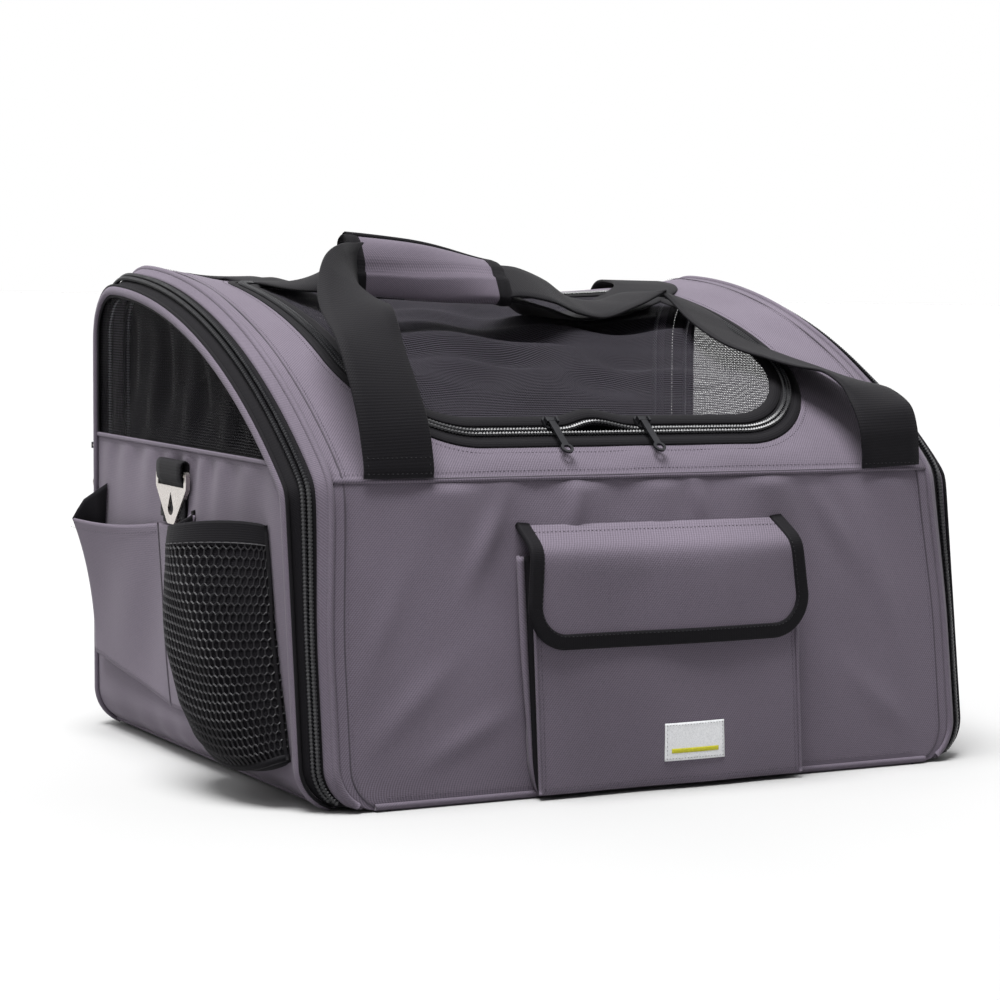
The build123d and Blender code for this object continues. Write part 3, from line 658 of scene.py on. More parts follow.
xs = np.linspace(-SHELL_X, SHELL_X, 61)
ys = np.linspace(FOOT_Y, REAR_FOOT[0], 41)
base_points = np.stack(np.meshgrid(xs, ys, indexing="ij") + [np.zeros((61, 41))], -1)
base_points = settle(base_points)
base_points[..., 2] = 0.3
cloth("base_cloth", base_points, "root", (0, 0, -1), replaces="base_panel")


# ---- Ends: pipings, zips, doors, the same at both ends -------------------------------------------
def side_points(inset, x, low_z=0.0, step=3.0):
    """The side outline at one X, settled, cut off below a height, and its outward directions."""
    yz = outline(inset)
    yz = yz[yz[:, 1] >= low_z] if low_z else yz
    yz = resample(yz, step=step)
    t = unit(np.gradient(yz, axis=0))
    p = settle(np.column_stack([np.full(len(yz), x), yz]))
    out = np.column_stack([np.zeros(len(yz)), -t[:, 1], t[:, 0]])
    return p, out


def slanted(sign, out):
    """Outward direction of the slanted zips."""
    return unit(out + np.array([sign * 1.0, 0, 0]))


def end_band(name, sign, x0, inset0, x1, inset1, body, replaces, material="tape", finish="zip_black"):
    rows = []
    for t in np.linspace(0, 1, 5):
        p, _ = side_points(inset0 + (inset1 - inset0) * t, sign * (x0 + (x1 - x0) * t), 1.0)
        rows.append(resample(p, n=400))
    return grid(name, np.array(rows), material, body, finish, thick=0.8, out=(sign, 0, 0.2),
                replaces=replaces)


def door_top(n=160):
    """The door window's edge from the front to the back, in Y and Z."""
    yz = outline(DOOR_INSET)
    return resample(yz[yz[:, 1] > MESH_Z], n=n)


def door_face(sign, y, z, above=0.0):
    """A point on an end door's cloth: crowned, gathered under the window's seam, with soft upright folds."""
    y, z = np.broadcast_arrays(np.asarray(y, float), np.asarray(z, float))
    y_front, y_rear = door_edges(z)
    fade = np.sin(pi * np.clip((y - y_front) / (y_rear - y_front), 0, 1)) ** 0.5
    height = np.clip(z / MESH_Z, 0, 1)
    gather = 2.1 * np.sin(y / 5.6 + 1.5 * np.sin(y / 31)) * np.exp(-(MESH_Z - z) / 26) * ease((MESH_Z - z)
                                                                                              / 10)
    foot = 1.5 * np.sin(y / 6.5 + 1.2 * np.sin(y / 40)) * np.exp(-z / 16) * ease(z / 8)
    folds = (1.6 * np.sin((y + 0.3 * z) / 24 + 1) + 3.0) * np.sin(pi * height)
    p = settle(np.stack([np.full(y.shape, sign * DOOR_X), y, z], -1))
    p[..., 0] += sign * (fade * (gather + foot + folds) + above)
    return p


def door_edges(z):
    """Where the door's cloth ends at a height, at the front and at the rear."""
    yz = outline(DOOR_INSET - 2.5)
    front, rear = yz[:len(yz) // 2], yz[len(yz) // 2:][::-1]
    return np.interp(z, front[:, 1], front[:, 0]), np.interp(z, rear[:, 1], rear[:, 0])


TAB_RISE = 7                                           # height of the loose loop over the ring's bar


def ring_tab(side, sign):
    """The webbing tab on an end door, turned round the ring's bar, with its box stitching."""
    door = f"{side}_door"
    lo, hi = low(f"{side}_tab"), high(f"{side}_tab")
    bar = (low(f"{side}_ring") + high(f"{side}_ring")) / 2
    bar_z = high(f"{side}_ring")[2] - 3
    mid_y = (lo[1] + hi[1]) / 2
    x_face = sign * (DOOR_X + 1.6)
    loop_r = 3.0
    bar_x = bar[0]
    path = [(x_face, mid_y, lo[2])]
    path += [(x_face, mid_y, lo[2] + k) for k in (8, 16, 24)]
    path.append((x_face + sign * 0.2, mid_y, bar_z + 4))
    for k in range(9):
        a = pi * k / 8 - pi / 2
        path.append((bar_x + sign * loop_r * sin(a), mid_y, bar_z + TAB_RISE + loop_r * cos(a)))
    path += [(bar_x + sign * loop_r, mid_y, bar_z + 2), (bar_x + sign * (loop_r - 0.2), mid_y, bar_z - 2.5),
             (x_face + sign * 2.2, mid_y, bar_z - 7), (x_face + sign * 1.9, mid_y, lo[2] + 20),
             (x_face + sign * 1.9, mid_y, lo[2] + 4)]
    path = smooth_path(resample(path, step=1.2), 1.2)
    t_dir = unit(np.gradient(path, axis=0))
    normal = np.cross(t_dir, np.array([0, 1.0, 0]))
    tube(f"{side}_ring_tab", path, normal, strip_section(hi[1] - lo[1], 1.5), "webbing", door,
         "black_webbing", replaces=f"{side}_tab")
    box_rows = []
    y0, y1, z0, z1 = lo[1] + 4, hi[1] - 4, lo[2] + 5, lo[2] + 21
    corners = [(y0, z0), (y1, z0), (y1, z1), (y0, z1), (y0, z0), (y1, z1)]
    for a, b in zip(corners[:-1], corners[1:]):
        box_rows.append((np.array([(x_face + sign * 2.9, *a), (x_face + sign * 2.9, *b)]),
                         np.array([sign, 0.0, 0])))
    stitches(f"{side}_tab_stitching", box_rows, door, "black_webbing", "black_thread")


def end(side, sign):
    shell, door = "root", f"{side}_door"
    piping, out = side_points(0.5, sign * (SHELL_X + 1.5), 2.6)
    tube(f"{side}_end_piping", piping, out, oval(4.6, 4.6, 8), "grey_piping", shell, "grey_cloth",
         replaces=f"{side}_shell_piping")
    hoop, out = side_points(7, sign * (SHELL_X - 2), 3)
    tube(f"{side}_end_hoop", hoop, out, oval(3, 3, 8), "steel", shell, "spring_steel",
         replaces=f"{side}_shell_hoop")
    end_band(f"{side}_shell_facing", sign, BAND_X - 1, 0.2, BAND_X + 4.5, 4.6, shell, (), "grey_piping",
             "grey_cloth")
    end_band(f"{side}_shell_zip_tape", sign, BAND_X + 3.8, 4.4, ZIP_MID_X - 0.2, ZIP_STEP - 0.2, shell,
             f"{side}_shell_zipper")
    end_band(f"{side}_door_zip_tape", sign, ZIP_MID_X + 0.2, ZIP_STEP + 0.2, DOOR_X, 2 * ZIP_STEP + 0.3,
             door, f"{side}_door_zipper")
    for body, shift, part in ((shell, -1.7, "shell"), (door, 1.7, "door")):
        mid, out = side_points(ZIP_STEP + shift * 0.7 - 1.2, sign * (ZIP_MID_X + shift * 0.7 + 1.2), 5)
        v, f, u = coil_mesh(mid, slanted(sign, out))
        piece(f"{side}_{part}_zip_coil", v, f, "coil", body, "zip_black", uv=u, smooth=False)

    # Door cloth, from the window's seam down, with a curled foot.
    zs = np.concatenate([[0.5, 1.0, 2.5, 5], np.linspace(9, MESH_Z, 60)])
    y_front, y_rear = door_edges(zs)
    t = np.linspace(0, 1, 110)
    y = y_front[None, :] * (1 - t[:, None]) + y_rear[None, :] * t[:, None]
    p = door_face(sign, y, np.broadcast_to(zs[None, :], y.shape))
    cloth(f"{side}_door_cloth", p, door, (sign, 0, 0), replaces=f"{side}_door_panel")

    # Window: from the seam up to the zip, with slack folds.
    top = door_top()
    foot = np.column_stack([np.linspace(top[0, 0], top[-1, 0], len(top)), np.full(len(top), MESH_Z)])
    s = np.linspace(0, 1, 40)
    yz = foot[:, None] * (1 - s[None, :, None]) + top[:, None] * s[None, :, None]
    wy, wz = yz[..., 0], yz[..., 1]
    inside = (np.sin(pi * np.linspace(0, 1, len(top)))[:, None] ** 0.6) * np.sin(pi * s)[None, :] ** 0.7
    sling = -4.5 * inside
    vertical = inside * (2.2 * np.sin(wy / 10 + 1.3 * np.sin(wz / 25)) + 1.3 * np.sin(wy / 5.3 + wz / 40))
    p = np.stack([np.full(wy.shape, sign * (DOOR_X - 0.6)), wy, wz], -1)
    p = settle(p)
    p[..., 0] += sign * (sling + vertical)
    grid(f"{side}_window", p, "mesh", door, "black_mesh", uv=np.stack([wy, wz], -1), out=(sign, 0, 0),
         replaces=f"{side}_door_mesh")

    edge, out = side_points(DOOR_INSET - 2.5, sign * (DOOR_X + 0.8), 1.0)
    tube(f"{side}_door_edge_piping", edge, np.array([sign, 0, 0]) + out * 0.3, oval(6.6, 4.2, 10),
         "grey_piping", door, "grey_cloth", replaces=f"{side}_door_piping")
    bound, out = side_points(DOOR_INSET + 1.2, sign * (DOOR_X + 0.3), MESH_Z)
    tube(f"{side}_window_edge", bound, (sign, 0, 0), strip_section(3, 1.2), "binding", door,
         "black_binding")
    hoop, out = side_points(DOOR_INSET + 3, sign * (DOOR_X - 6), 20)
    tube(f"{side}_door_frame_hoop", hoop, out, oval(3, 3, 8), "steel", door, "spring_steel",
         replaces=f"{side}_door_hoop")

    foot_y = np.linspace(y_front[3], y_rear[3], 120)
    foot_line = settle(np.column_stack([np.full(120, sign * DOOR_X), foot_y, np.full(120, 4.0)]))
    tube(f"{side}_door_foot_piping", foot_line, (sign, 0, -0.8), oval(3.4, 3.4, 8), "grey_piping", door,
         "grey_cloth")
    seam_y = np.linspace(top[0, 0] - 1, top[-1, 0] + 1, 120)
    seam = np.column_stack([np.full(120, sign * (DOOR_X + 0.6)), seam_y, np.full(120, MESH_Z)])
    tube(f"{side}_window_seam", seam, (sign, 0, 0), strip_section(3.2, 1.6), "grey_piping", door,
         "grey_cloth")
    row = seam + np.array([sign * 1.0, 0, -4.2])
    shell_row, shell_out = side_points(-0.1, sign * (SHELL_X - 8))
    tube(f"{side}_shell_seam", shell_row, shell_out, strip_section(1.3, 0.9, 0.3), "grey_thread", shell,
         "grey_cloth")
    stitches(f"{side}_door_stitching", [(row[4:-4], np.array([sign, 0.0, 0]))], door, "grey_cloth")
    stitches(f"{side}_shell_stitching",
             [(shell_row + shell_out * 0.3 - np.array([sign * 2.6, 0, 0]), shell_out)], shell,
             "grey_cloth", "grey_piping")
    rim, out = side_points(DOOR_INSET - 5.8, sign * (DOOR_X + 0.2), 1.0)
    tube(f"{side}_door_zip_edge", rim, (sign, 0, 0), oval(2.6, 2.4, 8), "tape", door, "zip_black")
    ring_tab(side, sign)


end("left", -1)
end("right", 1)

# Piping along the front's and the back's foot, round to the ends, and the seam between front and roof.
foot_x = np.linspace(-1, 1, 161)
for name, y_at in (("front_foot_piping", FOOT_Y), ("back_foot_piping", REAR_FOOT[0])):
    reach = SHELL_X - CORNER + 5
    line = np.column_stack([foot_x * reach, np.full(161, y_at), np.full(161, 2.6)])
    tube(name, line, (0, np.sign(y_at), -0.6), oval(4.2, 4.2, 8), "grey_piping", "root", "grey_cloth")

seam_x = np.linspace(-SHELL_X + 4, SHELL_X - 4, 181)
seam_line = settle(np.column_stack([seam_x, np.full(181, OUTLINE[SEAM_I, 0] - 0.4),
                                    np.full(181, OUTLINE[SEAM_I, 1] + 0.2)]))
tube("front_seam", seam_line, (0, -0.8, 0.6), strip_section(1.4, 1.2, 0.3), "grey_thread", "root",
     "grey_cloth")
stitches("shell_seam_stitching", [
    (seam_line + np.array([0, 2.8, 3.8]), np.array([0, -0.7, 0.7])),
    (front_surface(np.linspace(-SHELL_X + 26, SHELL_X - 26, 120), np.full(120, 8.0), 0.2), FORWARD),
], "root", "grey_cloth", "grey_piping")

# ---- Roof zip and mesh flap ----------------------------------------------------------------------
ring_on_roof("opening_tape", 0.5, 7.6, 0.5, 0.5, 4, "tape", "root", "zip_black", thick=1.0, out=(0, 0, 1),
             replaces="roof_zipper")
ring_on_roof("opening_binding", -2.5, 3.2, 0.4, 0.9, 5, "binding", "root", "black_binding", bow=0.8,
             thick=0.8, out=(0, 0, 1))
ring_on_roof("flap_tape", 8.4, 13.2, 0.5, 0.7, 4, "tape", "top_flap", "zip_black", thick=1.0, out=(0, 0, 1),
             replaces="flap_zipper")
ring_on_roof("flap_edge_binding", 12.6, 21, 1.0, 0.6, 6, "binding", "top_flap", "black_binding", bow=1.1,
             thick=0.8, out=(0, 0, 1), replaces="flap_binding")
for part, body, inset in (("opening_coil", "root", 6.7), ("flap_coil", "top_flap", 9.6)):
    pts, _ = opening_outline(inset)
    line = on_roof(pts[:, 0], pts[:, 1], np.full(len(pts), 1.3))
    line = np.vstack([line, line[:1]])
    v, f, u = coil_mesh(line, ROOF_UP)
    piece(part, v, f, "coil", body, "zip_black", uv=u, smooth=False)


def flap_net():
    """The flap's mesh: slack between its bound edges, with creases that fan out from its corners."""
    steps = 46
    edge, _ = opening_outline(17.5)
    core = np.column_stack([np.clip(edge[:, 0], -95, 95), np.full(len(edge), -10.0)])
    rows = [edge * (1 - t) + core * t for t in np.linspace(0, 1, steps)]
    flat = np.array(rows).transpose(1, 0, 2)
    x, y = flat[..., 0], flat[..., 1]
    inside = ease(np.linspace(0, 1, steps) / 0.55)[None, :]
    p = on_roof(x, y, np.zeros(x.shape))
    fan = 3.4 * np.sin((x * 0.35 + y) / 10.5 + 1.4 * np.sin(x / 33)) * np.exp(-((y + 60) / 75) ** 2)
    creases = inside * (fan + 2.4 * np.sin((x - 0.6 * y) / 16 + np.sin(y / 25))
                        + 1.8 * np.sin((x * 0.15 + y) / 6.3 + 1))
    p[..., 2] += creases - 5.0 * inside
    # The flap's net takes the lighter mesh colour, painted light from the top lamp.
    return grid("flap_net", p, "roof_mesh_painted_light", "top_flap", "black_mesh", uv=np.stack([x, y * 1.15], -1),
                close_n=True, out=(0, 0, 1), replaces="flap_mesh")


flap_net()

pts, _ = opening_outline(-6.0)
line_round = on_roof(pts[:, 0], pts[:, 1], np.full(len(pts), 0.2))
stitches("roof_stitching", [(np.vstack([line_round, line_round[:1]]), ROOF_UP)], "root", "grey_cloth",
         "grey_piping")

# ---- Front pocket, its flap and its label --------------------------------------------------------
PX, PT = high("front_pocket")[0], high("front_pocket")[2]


def pocket_surface(x, z, above=0.0):
    x, z = np.broadcast_arrays(np.asarray(x, float), np.asarray(z, float))
    y = np.interp(z, [3, PT], [FRONT_FOOT, FRONT_MOUTH])
    crown = 3.6 * np.clip(1 - (x / PX) ** 2, 0, 1) * np.sin(pi * np.clip(z / PT, 0, 1))
    ripple = 1.0 * np.sin(x / 19 + z / 31) * np.clip(1 - np.abs(x) / PX, 0, 1) ** 0.5 * ease((PT - z) / 30)
    return np.stack([x, y - crown - ripple - above, z], -1)


FRONT_FOOT, FRONT_MOUTH = low("front_pocket")[1] + 0.6, low("front_pocket")[1] + 16.5
px = np.linspace(-PX, PX, 81)
pz = np.linspace(3, PT, 61)
body_points = pocket_surface(px[:, None], pz[None, :])
cloth("pocket_front", body_points, "root", (0, -1, 0), thick=1.5, replaces="front_pocket")


def gusset(sign, name):
    """The pocket's folded side: in from the front's edge to a fold in painted shade, then out to the shell.
    """
    z = np.linspace(3, PT, 40)
    face = pocket_surface(np.full(40, sign * PX), z, -0.6)
    wall = front_surface(np.full(40, sign * (PX + 3)), z, 0.4)
    share = ease(z / PT * 1.3 + 0.1)

    def rows(stations):
        out = []
        for t, pull in stations:
            p = face * (1 - t) + wall * t
            p[:, 0] -= sign * pull * share
            out.append(p)
        return np.array(out)

    # The inner rows are painted shade: dark cloth where the grey fold turns in. The outer rows are the grey
    # cloth.
    for part, material, stations in (
            ("gusset", "dark_cloth_and_painted_shade", ((0, 0), (0.06, 4), (0.18, 11), (0.32, 13), (0.42, 8), (0.5, -1))),
            ("fold", "grey_cloth", ((0.47, -1), (0.5, -3.5), (0.58, -5), (0.7, -4.5), (0.85, -2), (1, 0)))):
        grid(f"pocket_{part}_{name}", rows(stations), material, "root", "grey_cloth", thick=0.8,
             out=(sign, 0, 0))


gusset(-1, "left")
gusset(1, "right")
for sign, name in ((-1, "left"), (1, "right")):
    z = np.linspace(4, PT, 50)
    edge = pocket_surface(np.full(50, sign * (PX - 0.4)), z, 0.2)
    tube(f"pocket_edge_{name}", edge, (sign * 0.7, -0.7, 0), oval(2.4, 2.4, 8), "grey_piping", "root",
         "grey_cloth")
hem = pocket_surface(np.linspace(-PX, PX, 60), np.full(60, PT - 1.5), 0.1)
tube("pocket_hem", hem, (0, -1, 0.1), strip_section(9, 1.8), "binding", "root", "black_binding")
rows = [(pocket_surface(np.full(40, s * (PX - 4.5)), np.linspace(6, PT - 8, 40), 0.2), FORWARD)
        for s in (-1, 1)]
rows.append((pocket_surface(np.linspace(-PX + 4, PX - 4, 60), np.full(60, 7.0), 0.2), FORWARD))
stitches("pocket_stitching", rows, "root", "grey_cloth")

FLAP_TOP, FLAP_FOOT = high("pocket_flap_panel")[2] - 2, low("pocket_flap_binding")[2]
FLAP_HX, FLAP_R, BINDING_W = high("pocket_flap_binding")[0], 28, 9


def flap_edge(inset, n=120):
    """The pocket flap's sides and foot in X and Z, from the top left to the top right."""
    hx = FLAP_HX - inset
    foot = FLAP_FOOT + inset
    r = FLAP_R - inset
    left = np.array([(-hx + 5, FLAP_TOP), (-hx, foot + r)])
    corner = arc((-hx + r, foot + r), r, pi, 1.5 * pi, 16)
    right = -np.vstack([left, corner])[::-1] * np.array([1, -1])
    return resample(np.vstack([left, corner, right]), n=n)


def flap_surface(x, z, above=0.0):
    """A point on the pocket flap: off the front at its seam, over the pocket's mouth and down its face."""
    x, z = np.broadcast_arrays(np.asarray(x, float), np.asarray(z, float))
    root_y = np.interp(FLAP_TOP, OUTLINE[:SEAM_I, 1], OUTLINE[:SEAM_I, 0]) - 1.0
    knee = low("pocket_flap_binding")[1]
    profile = smooth_path(resample([(root_y, FLAP_TOP + 1), (knee + 6.2, PT + 5), (knee + 1.4, FLAP_FOOT)],
                                   step=1), 5)
    order = np.argsort(profile[:, 1])
    y = np.interp(z, profile[order, 1], profile[order, 0])
    crown = 3.0 * np.clip(1 - (x / FLAP_HX) ** 2, 0, 1) * ease((FLAP_TOP - z) / 30)
    ripple = 1.2 * np.sin(x / 26 + 0.5) * ease((FLAP_TOP - z) / 50)
    corner_lift = 2.0 * (np.abs(x) / FLAP_HX) ** 4 * ease((FLAP_TOP - z) / 60)
    return np.stack([x, y - crown - ripple - above + 0.5 - corner_lift, z], -1)


def flap_cloth():
    edge = flap_edge(BINDING_W * 0.4)
    steps = 40
    top = np.column_stack([np.linspace(edge[0, 0], edge[-1, 0], len(edge)), np.full(len(edge), FLAP_TOP)])
    flat = np.array([edge * (1 - t) + top * t for t in np.linspace(0, 1, steps)]).transpose(1, 0, 2)
    p = flap_surface(flat[..., 0], flat[..., 1])
    return cloth("pocket_flap_cloth", p, "pocket_flap", (0, -1, 0), thick=1.8, uv=flat,
                 replaces="pocket_flap_panel")


flap_cloth()
rim = flap_edge(BINDING_W / 2, 160)
rim_points = flap_surface(rim[:, 0], rim[:, 1], -0.6)
tube("pocket_flap_rim", rim_points, (0, -1, 0), strip_section(BINDING_W + 1.5, 4.2, 1.0), "binding",
     "pocket_flap", "black_binding", replaces="pocket_flap_binding")
inner = flap_edge(BINDING_W - 0.8, 160)
top_line = flap_surface(np.linspace(-FLAP_HX + 12, FLAP_HX - 12, 90), np.full(90, FLAP_TOP - 4.0), 0.2)
stitches("pocket_flap_stitching", [(top_line, np.array([0, -1.0, 0.3]))], "pocket_flap", "grey_cloth")
stitches("pocket_rim_stitching", [(flap_surface(inner[:, 0], inner[:, 1], 1.7), FORWARD)], "pocket_flap",
         "black_binding", "black_thread")

plo, phi = low("loop_patch"), high("loop_patch")
patch_x, patch_z = np.linspace(plo[0], phi[0], 20)[:, None], np.linspace(plo[2], phi[2], 8)[None, :]
grid("pocket_loop_patch", pocket_surface(patch_x, patch_z, 0.9), "hook_loop", "root", "hook_loop",
     thick=1.0, out=(0, -1, 0), replaces="loop_patch")
grid("flap_hook_patch", flap_surface(patch_x, patch_z, -2.0), "hook_loop", "pocket_flap", "hook_loop",
     thick=0.8, out=(0, 1, 0), replaces="hook_patch")

llo, lhi = low("label"), high("label")
lx, lz = np.linspace(llo[0], lhi[0], 24), np.linspace(llo[2], lhi[2], 16)
label_points = pocket_surface(lx[:, None], lz[None, :], 0.9)
grid("label_patch", label_points, "label", "root", "label_cloth", thick=0.7, out=(0, -1, 0),
     replaces="label")
sx, sz = np.linspace(llo[0] + 5, lhi[0] - 5, 24), np.linspace(llo[2] + 5, llo[2] + 8.0, 4)
grid("label_stripe", pocket_surface(sx[:, None], sz[None, :], 1.1), "stripe", "root", "label_cloth",
     thick=0.4, out=(0, -1, 0))
frame_x, frame_z = (llo[0] + 1.5, lhi[0] - 1.5), (llo[2] + 1.5, lhi[2] - 1.5)
loop = [(frame_x[0], frame_z[0]), (frame_x[1], frame_z[0]), (frame_x[1], frame_z[1]),
        (frame_x[0], frame_z[1]), (frame_x[0], frame_z[0])]
rows = []
for a, b in zip(loop[:-1], loop[1:]):
    seg = resample([a, b], n=12)
    rows.append((pocket_surface(seg[:, 0], seg[:, 1], 1.0), FORWARD))
stitches("label_stitching", rows, "root", "label_cloth", pitch=2.2, length=1.6, w=0.35)

# ---- Pockets on the left door --------------------------------------------------------------------
blo, bhi = low("bellows_pocket"), high("bellows_pocket")
MOUTH_Z = bhi[2] - 8                                   # the mouth's height at its front end


def bellows_seam(t):
    """Where the rear pocket's panel is sewn down, in Y, at a share of its height."""
    return blo[1] + 4 - 30 * (1 - t)


def bellows_panel():
    """The panel: flat on the door at its front seam, standing open at its rear corner."""
    s, t = np.linspace(0, 1, 60)[:, None], np.linspace(0, 1, 44)[None, :]
    y = bellows_seam(t) + (bhi[1] - 10 * (1 - t) ** 0.7 - bellows_seam(t)) * s
    foot = blo[2] - 2 + 20 * s
    z = foot + (MOUTH_Z - 7 * s - foot) * t - 3 * np.sin(pi * s) * t ** 4
    open_share = 0.4 * ease(s) + 0.6 * s ** 0.8
    ripple = 1.2 * np.sin(y / 17 + z / 40) * np.sin(pi * t) * np.sin(pi * s)
    lean = open_share * (6 + 15 * t ** 2.2) + ripple
    p, flat = door_face(-1, y, z, 1.6), -DOOR_X - 1.6
    p[..., 0] = np.minimum(p[..., 0], flat) * (1 - open_share) + flat * open_share - lean
    return p


bellows_points = bellows_panel()
parts = [cloth("door_bellows_pocket", bellows_points, "left_door", (-1, 0, 0), thick=1.4,
               replaces="bellows_pocket")]
rear = bellows_points[-1]
rise = np.linspace(0, 1, len(rear))
fold = rear + np.array([9.0, 0, 0]) * rise[:, None] + np.stack([0 * rise, 2 - 3 * rise, 14 * rise ** 3], 1)
wall = door_face(-1, bhi[1] - 8 - 10 * rise, rear[:, 2] + 27 * rise ** 3, 0.8)
gusset_rows = [rear, (rear + fold) / 2 + np.array([0, 1.0, 0]), fold, (fold + wall) / 2, wall]
# Its inner, forward face is the dark cloth: painted shade on a grey gusset that lies in deep shadow.
parts.append(cloth("door_bellows_gusset", np.array(gusset_rows), "left_door", (0, 1, 0), thick=1.2))
ft = np.linspace(0, 1, 40)[None, :]
fs = np.linspace(0, 1, 30)[:, None]
flange_y = bellows_seam(ft) * (1 - fs) + (-16.0) * fs
flange_top = MOUTH_Z + 11 * ease((8 - flange_y) / 16)
flange_points = door_face(-1, flange_y, blo[2] - 2 + (flange_top - blo[2] + 2) * ft, 1.8)
parts.append(grid("door_flange", flange_points, "grey_cloth", "left_door", "grey_cloth", thick=1.2,
                  out=(-1, 0, 0)))
seam_path = bellows_points[0] + np.array([-0.4, 0, 0])
parts.append(tube("door_flange_seam", seam_path, (-1, 0, 0), strip_section(1.5, 1.2, 0.3), "grey_thread",
                  "left_door", "grey_cloth"))
mouth = bellows_points[:, -1]
foot_line = bellows_points[:, 0]
v, f, u = merged([stitch_mesh(foot_line[2:] + np.array([-0.4, 0, 3]), np.array([-1.0, 0, 0])),
                  stitch_mesh(mouth + np.array([-0.4, 0, -6]), np.array([-1.0, 0, 0]))])
parts.append(piece("door_bellows_stitching", v, f, "grey_thread", "left_door", "grey_cloth", uv=u))

olo, ohi = low("bottle_pocket"), high("bottle_pocket")
band_top = high("bottle_band")[2]
BOTTLE_Y, BOTTLE_HALF, BOTTLE_DEPTH = (olo[1] + ohi[1]) / 2, (ohi[1] - olo[1]) / 2, ohi[0] - olo[0]


def bottle(angle, t, grow=0.0):
    """A point on the bottle pocket, which leans forward: angle from its rear seam, height 0 to 1."""
    angle, t = np.broadcast_arrays(np.asarray(angle, float), np.asarray(t, float))
    belly = np.interp(t, [0, 0.06, 0.2, 0.45, 0.75, 0.92, 1.0], [0.52, 0.72, 0.9, 1.0, 1.0, 0.93, 0.86])
    slump = 1 + 0.04 * np.sin(angle * 5 + 6 * t) * ease(1 - np.abs(2 * t - 1))
    depth = BOTTLE_DEPTH * 0.97 * belly * slump + grow
    y_mid = BOTTLE_Y - 24 + 42 * t
    half = BOTTLE_HALF * (0.98 + 0.04 * t) + grow * 0.2
    droop = (3 - 3 * np.sin(angle) - 5 * np.sin(2 * angle)) * t ** 4
    z = olo[2] + (band_top + 5 - olo[2]) * t + 5 * np.sin(angle * 2.4) * (1 - t) ** 2 + droop
    x = -DOOR_X - 1.5 - depth * np.sin(angle) ** (0.8 + 0.9 * ease((t - 0.55) / 0.45))
    return np.stack([x, y_mid + half * np.cos(angle), z], -1)


def hex_net(name, w_cells, h_cells, thread, body, slot, t1):
    """Knitted net with six-sided holes, wrapped round the bottle pocket."""
    verts, faces, index = [], [], {}
    dx, dz = 1.0 / w_cells, t1 / h_cells

    def corner(u, v):
        key = (round(u * 10000), round(v * 10000))
        if key not in index:
            index[key] = len(verts)
            verts.append((min(max(u, 0), 1), min(max(v, 0), t1)))
        return index[key]

    for row in range(h_cells + 1):
        for col in range(w_cells):
            cu = (col + 0.5 + 0.5 * (row % 2)) * dx
            cv = row * dz
            ring = [(cu + dx * a, cv + dz * b) for a, b in
                    ((0, 0.667), (0.5, 0.333), (0.5, -0.333), (0, -0.667), (-0.5, -0.333), (-0.5, 0.333))]
            ids = [corner(*q) for q in ring]
            if len(set(ids)) == 6:
                faces.append(tuple(ids))
    uv = np.array(verts)
    p = bottle(uv[:, 0] * pi, uv[:, 1], 0.6)
    ob = piece(name, p, faces, "net", body, slot, uv=uv * 180, replaces="bottle_pocket", smooth=False)
    mod = ob.modifiers.new("thread", "WIREFRAME")
    mod.thickness, mod.use_even_offset, mod.use_boundary = thread * MM, False, True
    return ob


BAND_T = 0.915                                         # share of the height where the elastic band starts
net = hex_net("bottle_net", 34, 25, 1.45, "left_door", "black_mesh", BAND_T)
angles, ts = np.linspace(0, pi, 60), np.linspace(0, BAND_T, 30)
# Inner net layer: partly the pocket's real second layer, partly painted shade darkening the door cloth
# behind the net.
lining = grid("bottle_lining", bottle(angles[:, None], ts[None, :], -1.2), "lining_net_and_painted_shade", "left_door",
              "black_mesh", out=(-1, 0, 0), thick=0.4)
bts = np.linspace(BAND_T - 0.01, 1, 9)
ruffle = bottle(angles[:, None], bts[None, :], 0.8)
ruffle[..., 0] -= 0.5 * np.sin(angles * 60)[:, None]
elastic = grid("bottle_elastic", ruffle, "binding", "left_door", "black_binding", out=(-1, 0, 0), thick=1.5,
               replaces="bottle_band")
sole_t = np.linspace(0, 1, 14)
sole_rim = bottle(angles, 0.0, 0.4)
sole_wall = sole_rim.copy()
sole_wall[:, 0] = -DOOR_X - 0.6
sole_rows = [sole_rim * (1 - t) + sole_wall * t + np.array([0, 0, -1.5]) * sin(pi * t) for t in sole_t]
sole = grid("bottle_sole", np.array(sole_rows), "dark_cloth_and_painted_shade", "left_door", "black_mesh", out=(0, 0, -1),
            thick=1.2)
rim_tube = tube("bottle_foot_binding", bottle(angles, 0.012, 0.8), (0, 0, -1), oval(3.2, 4.5, 8), "binding",
                "left_door", "black_binding")
SIDE_BIND = []
for k, a in (("rear", 0.03), ("front", pi - 0.03)):
    line = bottle(np.full(40, a), np.linspace(0, 1, 40), 0.2)
    line[:, 0] -= 0.8
    SIDE_BIND.append(tube(f"bottle_{k}_binding", line, (-1, 0, 0), strip_section(6, 1.6), "binding",
                          "left_door", "black_binding"))

# ---- Carrying straps and the padded grip ---------------------------------------------------------
WEB_INNER_X = 165.0                                    # inner edge of the straps' feet
WEB_W, WEB_T = high("front_strap")[0] - WEB_INNER_X, 1.9
GX0, GX1 = low("grip_binding")[0], high("grip_binding")[0]


